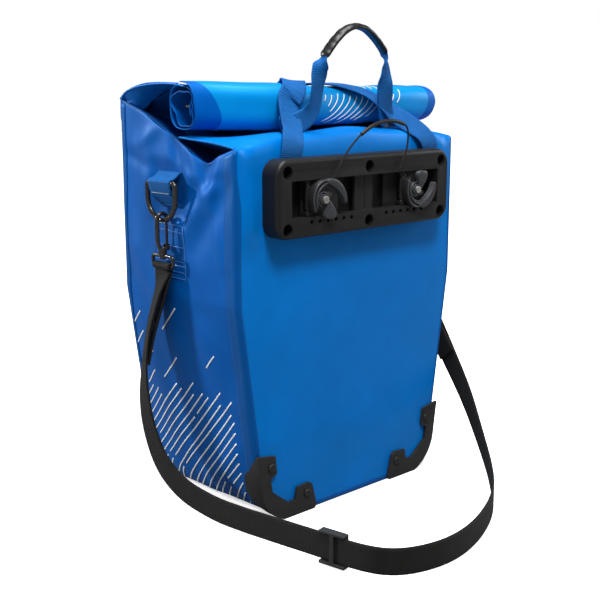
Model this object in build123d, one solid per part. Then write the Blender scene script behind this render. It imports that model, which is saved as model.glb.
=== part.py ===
from build123d import *
import os
from math import cos, radians, sin

# A roll-top bicycle pannier. Millimetres, +Z up. The origin is the middle of the base on the floor,
# the side that faces the wheel looks along -Y, and +X is to the right of someone facing that side.

# Bag body
DEPTH = 172.0
HALF_WIDTH = 150.0
KINK_Z = 214.0
BASE_HALF_WIDTH = 119.0
CORNER_R = 42.0
SEAM_Z = 352.0
FRONT_TOP_Z = 388.0
OUTLINE_TOP = 420.0
SHOULDER = (-68.0, 363.0)
FRONT_LIP = (78.0, 396.5)
SHEET_OVER_ROLL = 1.2
FABRIC = 1.5
GAP = 0.3
# How far a cutting shape runs past the part it cuts, and one joined shape into the next.
OVER = 1.0
BACK_Y = -DEPTH / 2
FRONT_Y = DEPTH / 2

# Rolled mouth
ROLL_R = 25.0
ROLL_Y = -39.0
ROLL_Z = 384.0
ROLL_HALF = 150.0
STIFFENER_W = 20.0
STIFFENER_T = 2.0
STIFFENER_HALF = 142.0

# Mounting plate
PLATE_W = 240.0
PLATE_LOW = 274.0
PLATE_HIGH = 346.0
PLATE_FRONT = -106.0
PLATE_BACK = BACK_Y - GAP
PLATE_MID = (PLATE_LOW + PLATE_HIGH) / 2
PLATE_EDGE_R = 15.0
PLATE_FILLET = 4.0
WINDOW_HALF = 102.0
WINDOW_LOW = 292.6
WINDOW_HIGH = 326.5
BRIDGE_HALF = 13.0
BRIDGE_RECESS = 7.5
SCREW_X = (-107.0, 0.0, 107.0)
SCREW_Z = (283.0, 334.6)
SCREW_R = 2.5
SCREW_HEAD_R = 5.2
SCREW_HEAD_T = 3.0
SOCKET_R = 2.6
SOCKET_DEPTH = 1.8
COUNTERBORE_R = 5.8
HEAD_SEAT_Y = -94.0

# Carriages, their guide channel and the index holes
PITCH = 10.5
INDEX_COUNT = 6
INDEX_X = 50.7
INDEX_Z = 288.0
INDEX_R = 2.0
CARRIAGE_X = INDEX_X + PITCH / 2
CARRIAGE_HALF = 24.0
CHANNEL_FRONT = -95.0
CHANNEL_BACK = -90.0
CHANNEL_LOW = 290.0
CHANNEL_HIGH = 328.5
TAB_HALF = 6.0
TAB_LOW = 283.0
POCKET_FRONT = -103.0
CARRIAGE_PLAY = 0.2

# Hooks
PIVOT_X = 65.0
PIVOT_Z = 308.0
HINGE_OFFSET = -12.0
HINGE_Y = -100.0
HINGE_R = 3.0
HINGE_PIN_R = 1.5
RUNNING = 0.05
PIVOT_R = 2.0
RAIL_R = 5.0
RAIL_U = 17.0
RAIL_W = -1.0
BLADE_FRONT = -112.0
BLADE_BACK = -106.4
HUB_FRONT = -107.8
HUB_BACK = -98.5
HUB_R = 7.0
SCREW_CAP_R = 3.4
JAW_BACK = -108.0
JAW_RING_R = 5.0
JAW_EDGE_R = 0.8
CAP_T = 1.8
CAP_BACK = BLADE_FRONT + 0.9
CAP_SLOT_HALF = 0.4
CAP_SLOT_DEPTH = 0.7

# Shoulder strap hardware
RING_X = 162.0
RING_Y = 7.0
RING_BAR_Z = 322.0
RING_BOW_Z = 308.0
RING_BOW_R = 21.0
WIRE_R = 2.0
WEB_W = 25.0
WEB_T = 2.4
SNAP_TOP_Z = RING_BOW_Z - RING_BOW_R + WIRE_R + 0.2
SNAP_HALF = 5.5
SNAP_BASE_Z = 258.5
EYE_Z = 244.0

# Carry handle, leaning back from its sewn ends
HANDLE_Y = -71.5
HANDLE_Z = 373.0
HANDLE_LEAN = 10.7


def face_of(*points):
    return make_face(Polyline(*points, close=True))


def slab_xz(sketch, y_low, y_high):
    """A sketch drawn in X and Z, as a slab between two Y values."""
    return Pos(0, y_high, 0) * extrude(Plane.XZ * sketch, y_high - y_low)


def slab_yz(sketch, x_low, x_high):
    return Pos(x_low, 0, 0) * extrude(Plane.YZ * sketch, x_high - x_low)


def slab_xy(sketch, z_low, z_high):
    return Pos(0, 0, z_low) * extrude(sketch, z_high - z_low)


def rod_x(radius, x_low, x_high, y, z):
    return slab_yz(Pos(y, z) * Circle(radius), x_low, x_high)


def rod_y(radius, y_low, y_high, x, z):
    return slab_xz(Pos(x, z) * Circle(radius), y_low, y_high)


def rod_z(radius, z_low, z_high, x, y):
    return slab_xy(Pos(x, y) * Circle(radius), z_low, z_high)


def block(x_low, x_high, y_low, y_high, z_low, z_high):
    size = (x_high - x_low, y_high - y_low, z_high - z_low)
    middle = ((x_low + x_high) / 2, (y_low + y_high) / 2, (z_low + z_high) / 2)
    return Pos(*middle) * Box(*size)


def round_bar(path, radius):
    """A round bar along a smooth path."""
    return sweep(Plane(path @ 0, z_dir=path % 0) * Circle(radius), path=path)


def band(stations, width, thickness):
    """Webbing through stations, each a point and the direction across the webbing."""
    points = [Vector(*point) for point, _ in stations]
    sections = []
    for i, (point, across) in enumerate(stations):
        ahead = points[min(i + 1, len(points) - 1)] - points[max(i - 1, 0)]
        plane = Plane(point, x_dir=across, z_dir=ahead)
        sections.append(plane * Rectangle(width, thickness))
    return loft(sections, ruled=True)


def mirrored(part):
    return mirror(part, Plane.YZ)


os.makedirs("parts", exist_ok=True)


def save(name, shape):
    export_step(shape, f"parts/{name}.step")


# ---------------------------------------------------------------- bag body

def bag_outline(inset=0.0, top=OUTLINE_TOP):
    """The bag seen from the wheel: straight to a kink, tapering to a base with round corners."""
    corners = [
        (-HALF_WIDTH, top),
        (-HALF_WIDTH, KINK_Z),
        (-BASE_HALF_WIDTH, 0),
        (BASE_HALF_WIDTH, 0),
        (HALF_WIDTH, KINK_Z),
        (HALF_WIDTH, top),
    ]
    shape = face_of(*corners)
    base = shape.vertices().sort_by(Axis.Y)[:2]
    shape = fillet(base, CORNER_R)
    return offset(shape, -inset) if inset else shape


def screw_holes(radius, y_low, y_high):
    holes = [rod_y(radius, y_low, y_high, x, z) for x in SCREW_X for z in SCREW_Z]
    return Compound(holes)


def sheet_profile(centre_line):
    return trace(Polyline(*centre_line), FABRIC)


BACK_MID = BACK_Y + FABRIC / 2
FRONT_MID = FRONT_Y - FABRIC / 2
back_line = [(BACK_MID, 0), (BACK_MID, SEAM_Z), SHOULDER]
ROLL_LIP = (ROLL_Y, ROLL_Z + ROLL_R + SHEET_OVER_ROLL)
front_line = [(FRONT_MID, 0), (FRONT_MID, FRONT_TOP_Z), FRONT_LIP, ROLL_LIP]
panel_outline = slab_xz(bag_outline(), BACK_Y - OVER, FRONT_Y + OVER)
back_panel = slab_yz(sheet_profile(back_line), -HALF_WIDTH, HALF_WIDTH) & panel_outline
back_panel -= screw_holes(SCREW_R + GAP, BACK_Y - OVER, BACK_Y + FABRIC + OVER)
front_panel = slab_yz(sheet_profile(front_line), -HALF_WIDTH, HALF_WIDTH) & panel_outline
save("front_panel", front_panel)

inner_y = FRONT_Y - FABRIC - GAP
ring_band = slab_xz(bag_outline() - bag_outline(FABRIC), -inner_y, inner_y)
# The gusset's top edge, depth and height, dips behind the back seam and climbs to the front panel.
GUSSET_TOP = ((BACK_Y, 350), (-84, 350), (-44, 335), (17, 362), (80, 384), (FRONT_Y, 384))
gusset_side = face_of((BACK_Y, -OVER), *GUSSET_TOP, (FRONT_Y, -OVER))
BOTTOM_X = 82.0
left_gusset = ring_band & slab_yz(gusset_side, -HALF_WIDTH - OVER, -BOTTOM_X - GAP)
save("left_gusset", left_gusset)
save("right_gusset", mirrored(left_gusset))
save("bottom_panel", block(-BOTTOM_X, BOTTOM_X, -inner_y, inner_y, 0, FABRIC))

roll = rod_x(ROLL_R, -ROLL_HALF, ROLL_HALF, ROLL_Y, ROLL_Z)
hem_y = STIFFENER_W / 2 + GAP
hem_z = STIFFENER_T / 2 + GAP
hem_x = ROLL_HALF + OVER
hem = block(-hem_x, hem_x, ROLL_Y - hem_y, ROLL_Y + hem_y, ROLL_Z - hem_z, ROLL_Z + hem_z)
save("roll_top", roll - hem)
strip = block(-STIFFENER_HALF, STIFFENER_HALF, ROLL_Y - STIFFENER_W / 2, ROLL_Y + STIFFENER_W / 2,
              ROLL_Z - STIFFENER_T / 2, ROLL_Z + STIFFENER_T / 2)
save("roll_stiffener", strip)

# ---------------------------------------------------------------- stiffeners inside

SHEET_T = 2.5
BOARD_T = 3.0
INSET = 5.0
sheet_back = BACK_Y + FABRIC + GAP
sheet_front = sheet_back + SHEET_T
stiffener = slab_xz(bag_outline(INSET, SEAM_Z), sheet_back, sheet_front)
stiffener -= screw_holes(SCREW_R + GAP, sheet_back - OVER, sheet_front + OVER)
board_z = FABRIC + GAP
board_y = sheet_front + GAP
save("base_board", block(-BOTTOM_X, BOTTOM_X, board_y, inner_y - GAP, board_z, board_z + BOARD_T))

BACKING_T = 3.0
BACKING_MARGIN = 4.0
BACKING_R = 10.0
backing_low = sheet_front + GAP
backing_high = backing_low + BACKING_T
backing_w = PLATE_W - 2 * BACKING_MARGIN
backing_h = PLATE_HIGH - PLATE_LOW - 2 * BACKING_MARGIN
backing_face = Pos(0, PLATE_MID) * RectangleRounded(backing_w, backing_h, BACKING_R)
backing = slab_xz(backing_face, backing_low, backing_high)
backing -= screw_holes(SCREW_R + RUNNING, backing_low - OVER, backing_high + OVER)
save("backing_plate", backing)

NUT_R = 4.6
NUT_T = 4.0
nut_low = backing_high + RUNNING
nuts = []
screws = []
for x in SCREW_X:
    for z in SCREW_Z:
        nut = slab_xz(Pos(x, z) * RegularPolygon(NUT_R, 6), nut_low, nut_low + NUT_T)
        nuts.append(nut - rod_y(SCREW_R + RUNNING, nut_low - OVER, nut_low + NUT_T + OVER, x, z))
        head_front = HEAD_SEAT_Y - SCREW_HEAD_T
        head = rod_y(SCREW_HEAD_R, head_front, HEAD_SEAT_Y, x, z)
        socket_face = Pos(x, z) * RegularPolygon(SOCKET_R, 6)
        socket = slab_xz(socket_face, head_front - OVER, head_front + SOCKET_DEPTH)
        shank = rod_y(SCREW_R, HEAD_SEAT_Y - OVER, nut_low + NUT_T, x, z)
        screws.append(head + shank - socket)
save("plate_nuts", Compound(nuts))
save("plate_screws", Compound(screws))

# ---------------------------------------------------------------- mounting plate

plate_face = Pos(0, PLATE_MID) * RectangleRounded(PLATE_W, PLATE_HIGH - PLATE_LOW, PLATE_EDGE_R)
plate = slab_xz(plate_face, PLATE_FRONT, PLATE_BACK)
plate = fillet(plate.faces().sort_by(Axis.Y)[0].edges(), PLATE_FILLET)
plate -= block(-WINDOW_HALF, WINDOW_HALF, PLATE_FRONT - OVER, CHANNEL_FRONT, WINDOW_LOW, WINDOW_HIGH)
plate += block(-BRIDGE_HALF, BRIDGE_HALF, PLATE_FRONT + BRIDGE_RECESS, CHANNEL_FRONT,
               WINDOW_LOW - OVER, WINDOW_HIGH + OVER)
plate -= block(-WINDOW_HALF, WINDOW_HALF, CHANNEL_FRONT, CHANNEL_BACK, CHANNEL_LOW, CHANNEL_HIGH)
index_reach = PITCH * (INDEX_COUNT - 1) / 2
for side in (-1, 1):
    centre = side * INDEX_X
    pocket_half = index_reach + TAB_HALF + GAP
    plate -= block(centre - pocket_half, centre + pocket_half, POCKET_FRONT, CHANNEL_BACK,
                   TAB_LOW - GAP, CHANNEL_LOW + OVER)
    for i in range(INDEX_COUNT):
        x = centre - index_reach + PITCH * i
        plate -= rod_y(INDEX_R, PLATE_FRONT - OVER, POCKET_FRONT + OVER, x, INDEX_Z)
plate -= screw_holes(COUNTERBORE_R, PLATE_FRONT - OVER, HEAD_SEAT_Y)
plate -= screw_holes(SCREW_R + GAP, HEAD_SEAT_Y - OVER, PLATE_BACK + OVER)
save("mount_plate", plate)

# ---------------------------------------------------------------- carriages with detents

PIN_R = 1.5
PIN_FLANGE_R = 2.4
PIN_FLANGE_T = 1.0
PIN_CHAMFER = 0.5
SPRING_WIRE_R = 0.25
SPRING_R = 2.0
SPRING_TURNS = 4
SPRING_PLAY = 0.1
PIN_TIP = POCKET_FRONT + SPRING_PLAY
PIN_BACK = -92.6
FLANGE_BACK = -99.5
carriage_front = CHANNEL_FRONT + CARRIAGE_PLAY
carriage_back = CHANNEL_BACK - CARRIAGE_PLAY
EAR_H = 4.0
EAR_INSET = 0.6


def hinge_x(side):
    return side * PIVOT_X + HINGE_OFFSET


def make_carriage(side):
    centre = side * CARRIAGE_X
    body = block(centre - CARRIAGE_HALF, centre + CARRIAGE_HALF, carriage_front, carriage_back,
                 CHANNEL_LOW + GAP, CHANNEL_HIGH - GAP)
    body += block(centre - TAB_HALF, centre + TAB_HALF, carriage_front, carriage_back,
                  TAB_LOW, CHANNEL_LOW + OVER)
    x = hinge_x(side)
    low = WINDOW_LOW + EAR_INSET
    high = WINDOW_HIGH - EAR_INSET
    for z in (low, high - EAR_H):
        body += block(x - HINGE_R, x + HINGE_R, HINGE_Y, carriage_front + OVER, z, z + EAR_H)
        body += rod_z(HINGE_R, z, z + EAR_H, x, HINGE_Y)
    body -= rod_z(HINGE_PIN_R + RUNNING, low - OVER, high + OVER, x, HINGE_Y)
    body -= rod_y(PIN_R + RUNNING, carriage_front - OVER, carriage_back + OVER, centre, INDEX_Z)
    return body


def make_detent_pin(side):
    x = side * CARRIAGE_X
    pin = rod_y(PIN_R, PIN_TIP, PIN_BACK, x, INDEX_Z)
    pin += rod_y(PIN_FLANGE_R, FLANGE_BACK - PIN_FLANGE_T, FLANGE_BACK, x, INDEX_Z)
    return chamfer(pin.edges().filter_by(GeomType.CIRCLE).sort_by(Axis.Y)[0], PIN_CHAMFER)


def make_detent_spring(side):
    length = carriage_front - FLANGE_BACK - 2 * (SPRING_WIRE_R + SPRING_PLAY)
    coil = Helix(length / SPRING_TURNS, length, SPRING_R)
    wire = sweep(Plane(coil @ 0, z_dir=coil % 0) * Circle(SPRING_WIRE_R), path=coil, is_frenet=True)
    start = FLANGE_BACK + SPRING_WIRE_R + SPRING_PLAY
    return Location((side * CARRIAGE_X, start, INDEX_Z), (-90, 0, 0)) * wire


def make_hinge_pin(side):
    low = WINDOW_LOW + EAR_INSET - GAP
    high = WINDOW_HIGH - EAR_INSET + GAP
    return rod_z(HINGE_PIN_R, low, high, hinge_x(side), HINGE_Y)


# ---------------------------------------------------------------- hooks

# Outlines across and up from the pivot: the hook's curved back, its inner edge and the jaw's leaf.
HOOK_BACK = [(-14, -6), (-13, 8), (-5, 16), (8, 17), (21, 13.5), (28, 5), (27.5, -5)]
HOOK_MOUTH = [(25.5, -5.5), (RAIL_U, RAIL_W), (16, 6.5), (8.5, 12.5), (5, 10), (-2, 9), (-8, 3), (-9, -4)]
JAW_LEAF = [(4.5, 1.5), (9.5, -5), (14, -12), (13, -15.5), (4, -17.5), (1, -14.5), (1, -3)]


def hook_shape(points, side):
    """Points across and up from the pivot. The right hook is fitted upside down."""
    return [(side * PIVOT_X + u, PIVOT_Z - side * w) for u, w in points]


def hook_body(side):
    px = side * PIVOT_X
    rail_height = PIVOT_Z - side * RAIL_W
    hx = hinge_x(side)
    barrel_low = WINDOW_LOW + EAR_INSET + EAR_H + GAP
    barrel_high = WINDOW_HIGH - EAR_INSET - EAR_H - GAP
    outer = hook_shape(HOOK_BACK, side)
    inner = hook_shape(HOOK_MOUTH, side)
    blade_face = make_face(Spline(*outer) + Polyline(outer[-1], *inner, outer[0]))
    body = slab_xz(blade_face, BLADE_FRONT, BLADE_BACK)
    body += rod_y(HUB_R, HUB_FRONT, HUB_BACK, px, PIVOT_Z)
    body += block(hx, px, HUB_FRONT, HUB_BACK, barrel_low, barrel_high)
    body += rod_z(HINGE_R, barrel_low, barrel_high, hx, HINGE_Y)
    body -= rod_y(RAIL_R, BLADE_FRONT - OVER, HUB_BACK + OVER, px + RAIL_U, rail_height)
    body -= rod_z(HINGE_PIN_R + RUNNING, barrel_low - OVER, barrel_high + OVER, hx, HINGE_Y)
    body -= rod_y(PIVOT_R + RUNNING, BLADE_FRONT - OVER, HUB_BACK + OVER, px, PIVOT_Z)
    return body


def jaw(side):
    px = side * PIVOT_X
    points = hook_shape(JAW_LEAF, side)
    leaf = slab_xz(fillet(face_of(*points).vertices(), JAW_EDGE_R), BLADE_FRONT, JAW_BACK)
    leaf -= rod_y(SCREW_CAP_R + GAP, BLADE_FRONT - OVER, BLADE_FRONT + OVER, px, PIVOT_Z)
    ring = rod_y(JAW_RING_R, BLADE_FRONT + OVER, JAW_BACK, px, PIVOT_Z)
    return leaf + ring - rod_y(PIVOT_R + RUNNING, BLADE_FRONT - OVER, JAW_BACK + OVER, px, PIVOT_Z)


def pivot_screw(side):
    px = side * PIVOT_X
    cap_front = CAP_BACK - CAP_T
    screw = rod_y(SCREW_CAP_R, cap_front, CAP_BACK, px, PIVOT_Z)
    screw += rod_y(PIVOT_R, CAP_BACK - OVER, HUB_BACK - CARRIAGE_PLAY, px, PIVOT_Z)
    slot_front = cap_front - OVER
    slot_back = cap_front + CAP_SLOT_DEPTH
    for half_x, half_z in ((SCREW_CAP_R + OVER, CAP_SLOT_HALF), (CAP_SLOT_HALF, PIVOT_R)):
        screw -= block(px - half_x, px + half_x, slot_front, slot_back, PIVOT_Z - half_z, PIVOT_Z + half_z)
    return screw


for side, name in ((-1, "left"), (1, "right")):
    save(f"{name}_carriage", make_carriage(side))
    save(f"{name}_detent_pin", make_detent_pin(side))
    save(f"{name}_detent_spring", make_detent_spring(side))
    save(f"{name}_hinge_pin", make_hinge_pin(side))
    save(f"{name}_hook", hook_body(side))
    save(f"{name}_jaw", jaw(side))
    save(f"{name}_pivot_screw", pivot_screw(side))

# ---------------------------------------------------------------- release cord

CORD_Y = -108.5
CORD_R = 0.9
GRIP_R = 2.6
GRIP_BEND = ((-15, 365), (16, 376), (46, 372.5))
LEFT_CORD = ((-46, 329.5), (-38, 345))
RIGHT_CORD = ((52, 358), (41, 329.5))
grip_arc = ThreePointArc(*GRIP_BEND)
left_cord = Spline(*LEFT_CORD, grip_arc @ 0, tangents=[(0.2, 1), grip_arc % 0])
right_cord = Spline(grip_arc @ 1, *RIGHT_CORD, tangents=[grip_arc % 1, (-0.5, -1)])


def in_cord_plane(line):
    return Pos(0, CORD_Y, 0) * (Plane.XZ * line)


cord_path = in_cord_plane(left_cord + grip_arc + right_cord)
grip_path = in_cord_plane(grip_arc)
save("release_cord", round_bar(cord_path, CORD_R))
save("release_grip", round_bar(grip_path, GRIP_R) - round_bar(grip_path, CORD_R + RUNNING))

# ---------------------------------------------------------------- corner guards

GUARD_T = 3.0
GUARD_OVER = 2.0
FLANGE_DEPTH = 26.0
RIVETS = ((-113.0, 56.0), (-66.0, 18.5))
RIVET_R = 1.6
RIVET_HEAD_R = 4.4
RIVET_HEAD_T = 1.6
RIVET_EDGE = 0.8
RIVET_TAIL_R = 3.4
RIVET_TAIL_T = 1.2
FLANGE_X = -90.0
GUARD_WINDOW = ((-140, 72), (-108, 67), (-106, 49), (-114, 45), (-112, 32), (-91, 16), (-82, 16),
                (-79, 28), (-63, 29), (-59, 26), (-53, 3), (-56, 0), (-140, 0))
FLANGE_SIDE = ((-90, 68), (-84, 66), (-66, 46), (-66, 30), (-72, 18), (-84, 8), (-90, 8))
guard_y = BACK_Y - GAP
guard_face = bag_outline(-GUARD_OVER) & face_of(*GUARD_WINDOW)
left_guard = slab_xz(guard_face, guard_y - GUARD_T, guard_y)
flange_ring = slab_xz(bag_outline(-GUARD_OVER) - bag_outline(-GAP), guard_y - GUARD_T, BACK_Y + FLANGE_DEPTH)
left_guard += flange_ring & slab_yz(face_of(*FLANGE_SIDE), -HALF_WIDTH, FLANGE_X)


def rivet_set(pairs, radius, y_low, y_high):
    return [rod_y(radius, y_low, y_high, side * x, z) for side in (-1, 1) for x, z in pairs]


guard_holes = Compound(rivet_set(RIVETS, RIVET_R + RUNNING, guard_y - GUARD_T - OVER, sheet_front + OVER))
left_guard -= guard_holes
save("left_guard", left_guard)
save("right_guard", mirrored(left_guard))
rivets = []
guard_front = guard_y - GUARD_T
heads = rivet_set(RIVETS, RIVET_HEAD_R, guard_front - RIVET_HEAD_T, guard_front - RUNNING)
shanks = rivet_set(RIVETS, RIVET_R, guard_front - OVER, sheet_front + RIVET_TAIL_T / 2)
tails = rivet_set(RIVETS, RIVET_TAIL_R, sheet_front + RUNNING, sheet_front + RIVET_TAIL_T)
for head, shank, tail in zip(heads, shanks, tails):
    dome = chamfer(head.edges().filter_by(GeomType.CIRCLE).sort_by(Axis.Y)[0], RIVET_EDGE)
    rivets.append(dome + shank + tail)
save("guard_rivets", Compound(rivets))
save("back_panel", back_panel - guard_holes)
save("back_stiffener", stiffener - guard_holes)

# ---------------------------------------------------------------- D-rings and snap hooks

TAB_W = 32.0
TAB_FOOT_Z = 299.0
TAB_HEAD_Z = 331.0
TAB_WRAP_R = 4.2
GATE_R = 1.3
GATE_FOOT_Z = SNAP_BASE_Z + 4.0
GATE_X = 5.0
POST_R = 1.6
COLLAR_R = 4.0
COLLAR_LOW = 252.0
EYE_W = 31.0
EYE_WIRE_R = 1.6
SLEEVE_R = 3.6
RING_CORNER_R = 4.0
BAR_PLAY = 0.1
EYE_CORNER_R = 3.0
POST_HEAD_R = 2.7
POST_HEAD_T = 1.6
COLLAR_GAP = 0.2
CHEEK_X = (2.5, 6.6)
CHEEK_T = 1.0
SNAP_COLLAR_T = 2.5
CHEEK_Y = (-2.6, 1.6)
CHEEK_RISE = 1.6
GATE_PIN_R = 0.8
GATE_PIN_HALF = 2.5
GATE_TOP_GAP = 3.3
NOSE = 3.0
SNAP_BEND = 12.0
EYE_HEAD_Z = COLLAR_LOW + 1.5
TAB_LOWER = (-RING_X - 3.4, RING_BAR_Z - 2.5)
TAB_UPPER = (-RING_X - 1.5, RING_BAR_Z + 3.9)
snap_arc_z = SNAP_TOP_Z - SNAP_HALF + 2 * WIRE_R


def make_ring_tab():
    wall = -HALF_WIDTH - GAP
    sides = face_of((wall, TAB_FOOT_Z), TAB_LOWER, TAB_UPPER, (wall, TAB_HEAD_Z))
    wrap = Pos(-RING_X, RING_BAR_Z) * Circle(TAB_WRAP_R)
    tab = slab_xz(sides + wrap, RING_Y - TAB_W / 2, RING_Y + TAB_W / 2)
    return tab - rod_y(WIRE_R + BAR_PLAY, RING_Y - TAB_W, RING_Y + TAB_W, -RING_X, RING_BAR_Z)


def make_d_ring():
    left = RING_Y - RING_BOW_R
    right = RING_Y + RING_BOW_R
    corners = [(left, RING_BOW_Z), (left, RING_BAR_Z), (right, RING_BAR_Z), (right, RING_BOW_Z)]
    top = FilletPolyline(*corners, radius=RING_CORNER_R)
    bow = ThreePointArc((right, RING_BOW_Z), (RING_Y, RING_BOW_Z - RING_BOW_R), (left, RING_BOW_Z))
    path = Pos(-RING_X, 0, 0) * (Plane.YZ * (top + bow))
    return round_bar(path, WIRE_R)


def make_snap_hook():
    foot = (-WIRE_R, SNAP_BASE_Z + OVER)
    bend = (-SNAP_HALF, SNAP_BASE_Z + SNAP_BEND)
    back = Spline(foot, bend, tangents=[(-1, 1), (0, 1)])
    side = Line(bend, (-SNAP_HALF, snap_arc_z))
    top = ThreePointArc((-SNAP_HALF, snap_arc_z), (0, snap_arc_z + SNAP_HALF), (SNAP_HALF, snap_arc_z))
    nose = Line((SNAP_HALF, snap_arc_z), (SNAP_HALF, snap_arc_z - NOSE))
    path = Pos(-RING_X, RING_Y, 0) * (Plane.XZ * (back + side + top + nose))
    hook = round_bar(path, WIRE_R)
    hook += rod_z(COLLAR_R, SNAP_BASE_Z - OVER, SNAP_BASE_Z + SNAP_COLLAR_T, -RING_X, RING_Y)
    near, far = CHEEK_X
    for y in CHEEK_Y:
        hook += block(-RING_X + near, -RING_X + far, RING_Y + y, RING_Y + y + CHEEK_T,
                      SNAP_BASE_Z, GATE_FOOT_Z + CHEEK_RISE)
    pin_reach = GATE_PIN_HALF + OVER
    hook -= rod_y(GATE_PIN_R + RUNNING, RING_Y - pin_reach, RING_Y + pin_reach, -RING_X + GATE_X, GATE_FOOT_Z)
    hook += rod_z(POST_R, COLLAR_LOW - OVER, SNAP_BASE_Z, -RING_X, RING_Y)
    post_top = COLLAR_LOW - COLLAR_GAP
    hook += rod_z(POST_HEAD_R, post_top - POST_HEAD_T, post_top, -RING_X, RING_Y)
    return hook


def make_snap_gate():
    foot_x = -RING_X + GATE_X
    gate = rod_z(GATE_R, GATE_FOOT_Z, snap_arc_z - GATE_TOP_GAP, foot_x, RING_Y)
    gate += rod_y(GATE_R, RING_Y - GATE_R, RING_Y + GATE_R, foot_x, GATE_FOOT_Z)
    return gate + rod_y(GATE_PIN_R, RING_Y - GATE_PIN_HALF, RING_Y + GATE_PIN_HALF, foot_x, GATE_FOOT_Z)


def make_swivel_eye():
    half = EYE_W / 2
    near, far = RING_Y - half, RING_Y + half
    corners = [(near, EYE_HEAD_Z), (near, EYE_Z), (far, EYE_Z), (far, EYE_HEAD_Z)]
    loop = FilletPolyline(*corners, radius=EYE_CORNER_R, close=True)
    eye = round_bar(Pos(-RING_X, 0, 0) * (Plane.YZ * loop), EYE_WIRE_R)
    eye += rod_z(COLLAR_R, COLLAR_LOW, SNAP_BASE_Z - OVER - COLLAR_GAP, -RING_X, RING_Y)
    return eye - rod_z(POST_R + RUNNING, COLLAR_LOW - OVER, SNAP_BASE_Z, -RING_X, RING_Y)


hardware = {
    "ring_tab": make_ring_tab(),
    "d_ring": make_d_ring(),
    "snap_hook": make_snap_hook(),
    "snap_gate": make_snap_gate(),
    "swivel_eye": make_swivel_eye(),
}
for name, shape in hardware.items():
    save(f"left_{name}", shape)
    save(f"right_{name}", mirrored(shape))

# ---------------------------------------------------------------- shoulder strap and its slider

FLOOR_Z = 16.5
RUN_START = (-147.0, -118.0)
RUN_END = (-131.0, -222.0)
# Middle of the webbing, and the way its outer face looks, in degrees from +X.
strap_route = [
    (-RING_X, RING_Y, EYE_Z - 2.4, 180),
    (-164, 15, 215, 180),
    (-165, 28, 180, 180),
    (-165, 35, 142, 180),
    (-165, 36, 105, 180),
    (-165, 30, 74, 180),
    (-163, 14, 46, 182),
    (-160, -14, 27, 184),
    (-155, -52, 18, 186),
    (-151, -88, FLOOR_Z, 188),
    (*RUN_START, FLOOR_Z, 189),
    (*RUN_END, FLOOR_Z, 191),
    (-112, -246, 14.5, 232),
    (-78, -258, 13.5, 262),
    (-38, -258, 13.5, 276),
    (10, -244, 13.5, 288),
    (58, -220, 15, 298),
    (98, -188, 22, 310),
    (130, -150, 44, 322),
    (154, -112, 76, 338),
    (167, -78, 110, 350),
    (171, -48, 150, 358),
    (169, -20, 195, 360),
    (RING_X, RING_Y, EYE_Z - 2.4, 360),
]


def face_directions(route):
    """Each point of the route with the direction across the webbing there."""
    stations = []
    for i, (x, y, z, turn) in enumerate(route):
        ahead = Vector(*route[min(i + 1, len(route) - 1)][:3]) - Vector(*route[max(i - 1, 0)][:3])
        outward = Vector(cos(radians(turn)), sin(radians(turn)), 0)
        stations.append(((x, y, z), ahead.cross(outward)))
    return stations


shoulder_strap = band(face_directions(strap_route), WEB_W, WEB_T)
for side in (-1, 1):
    sleeve = rod_y(SLEEVE_R, RING_Y - WEB_W / 2, RING_Y + WEB_W / 2, side * RING_X, EYE_Z)
    shoulder_strap += sleeve
for side in (-1, 1):
    shoulder_strap -= rod_y(EYE_WIRE_R + BAR_PLAY, RING_Y - WEB_W, RING_Y + WEB_W, side * RING_X, EYE_Z)
save("shoulder_strap", shoulder_strap)

SLIDER_LONG = 27.0
SLIDER_AT = 0.72
RAIL_H = 2.6
BAR_LONG = 4.5
BAR_T = 2.4
EDGE_PLAY = 0.4
run = Vector(RUN_END[0] - RUN_START[0], RUN_END[1] - RUN_START[1], 0)
slider_x = RUN_START[0] + run.X * SLIDER_AT
slider_y = RUN_START[1] + run.Y * SLIDER_AT
face_gap = WEB_T / 2 + GAP
side_z = WEB_W / 2 + EDGE_PLAY
bar_y = face_gap + BAR_T / 2
bar_x = (SLIDER_LONG - BAR_LONG) / 2
side_rail = Box(SLIDER_LONG, 2 * (face_gap + BAR_T), RAIL_H)
frame = Pos(0, 0, side_z + RAIL_H / 2) * side_rail + Pos(0, 0, -side_z - RAIL_H / 2) * side_rail
for x, y in ((bar_x, bar_y), (-bar_x, bar_y), (0, -bar_y)):
    frame += Pos(x, y) * Box(BAR_LONG, BAR_T, 2 * side_z + OVER)
slider_plane = Plane((slider_x, slider_y, FLOOR_Z), x_dir=run, z_dir=(0, 0, 1))
save("strap_slider", slider_plane.location * frame)

# ---------------------------------------------------------------- carry handle

GRIP_DEPTH = 9.0
lean = radians(HANDLE_LEAN)
handle_plane = Plane((0, HANDLE_Y, HANDLE_Z), x_dir=(1, 0, 0), z_dir=(0, -cos(lean), -sin(lean)))


def handle_band(outer, inner, apex, sill):
    """An arch: legs given on the left, from the foot up, and the height of each arc at the middle."""
    right_outer = [(-x, y) for x, y in reversed(outer)]
    right_inner = [(-x, y) for x, y in reversed(inner)]
    edges = Polyline(*outer) if len(outer) > 2 else Line(*outer)
    edges += ThreePointArc(outer[-1], (0, apex), right_outer[0])
    edges += Polyline(*right_outer)
    edges += Line(right_outer[-1], right_inner[-1])
    edges += Polyline(*reversed(right_inner))
    edges += ThreePointArc(right_inner[0], (0, sill), inner[-1])
    edges += Polyline(*reversed(inner))
    edges += Line(inner[0], outer[0])
    return handle_plane * make_face(edges)


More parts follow.
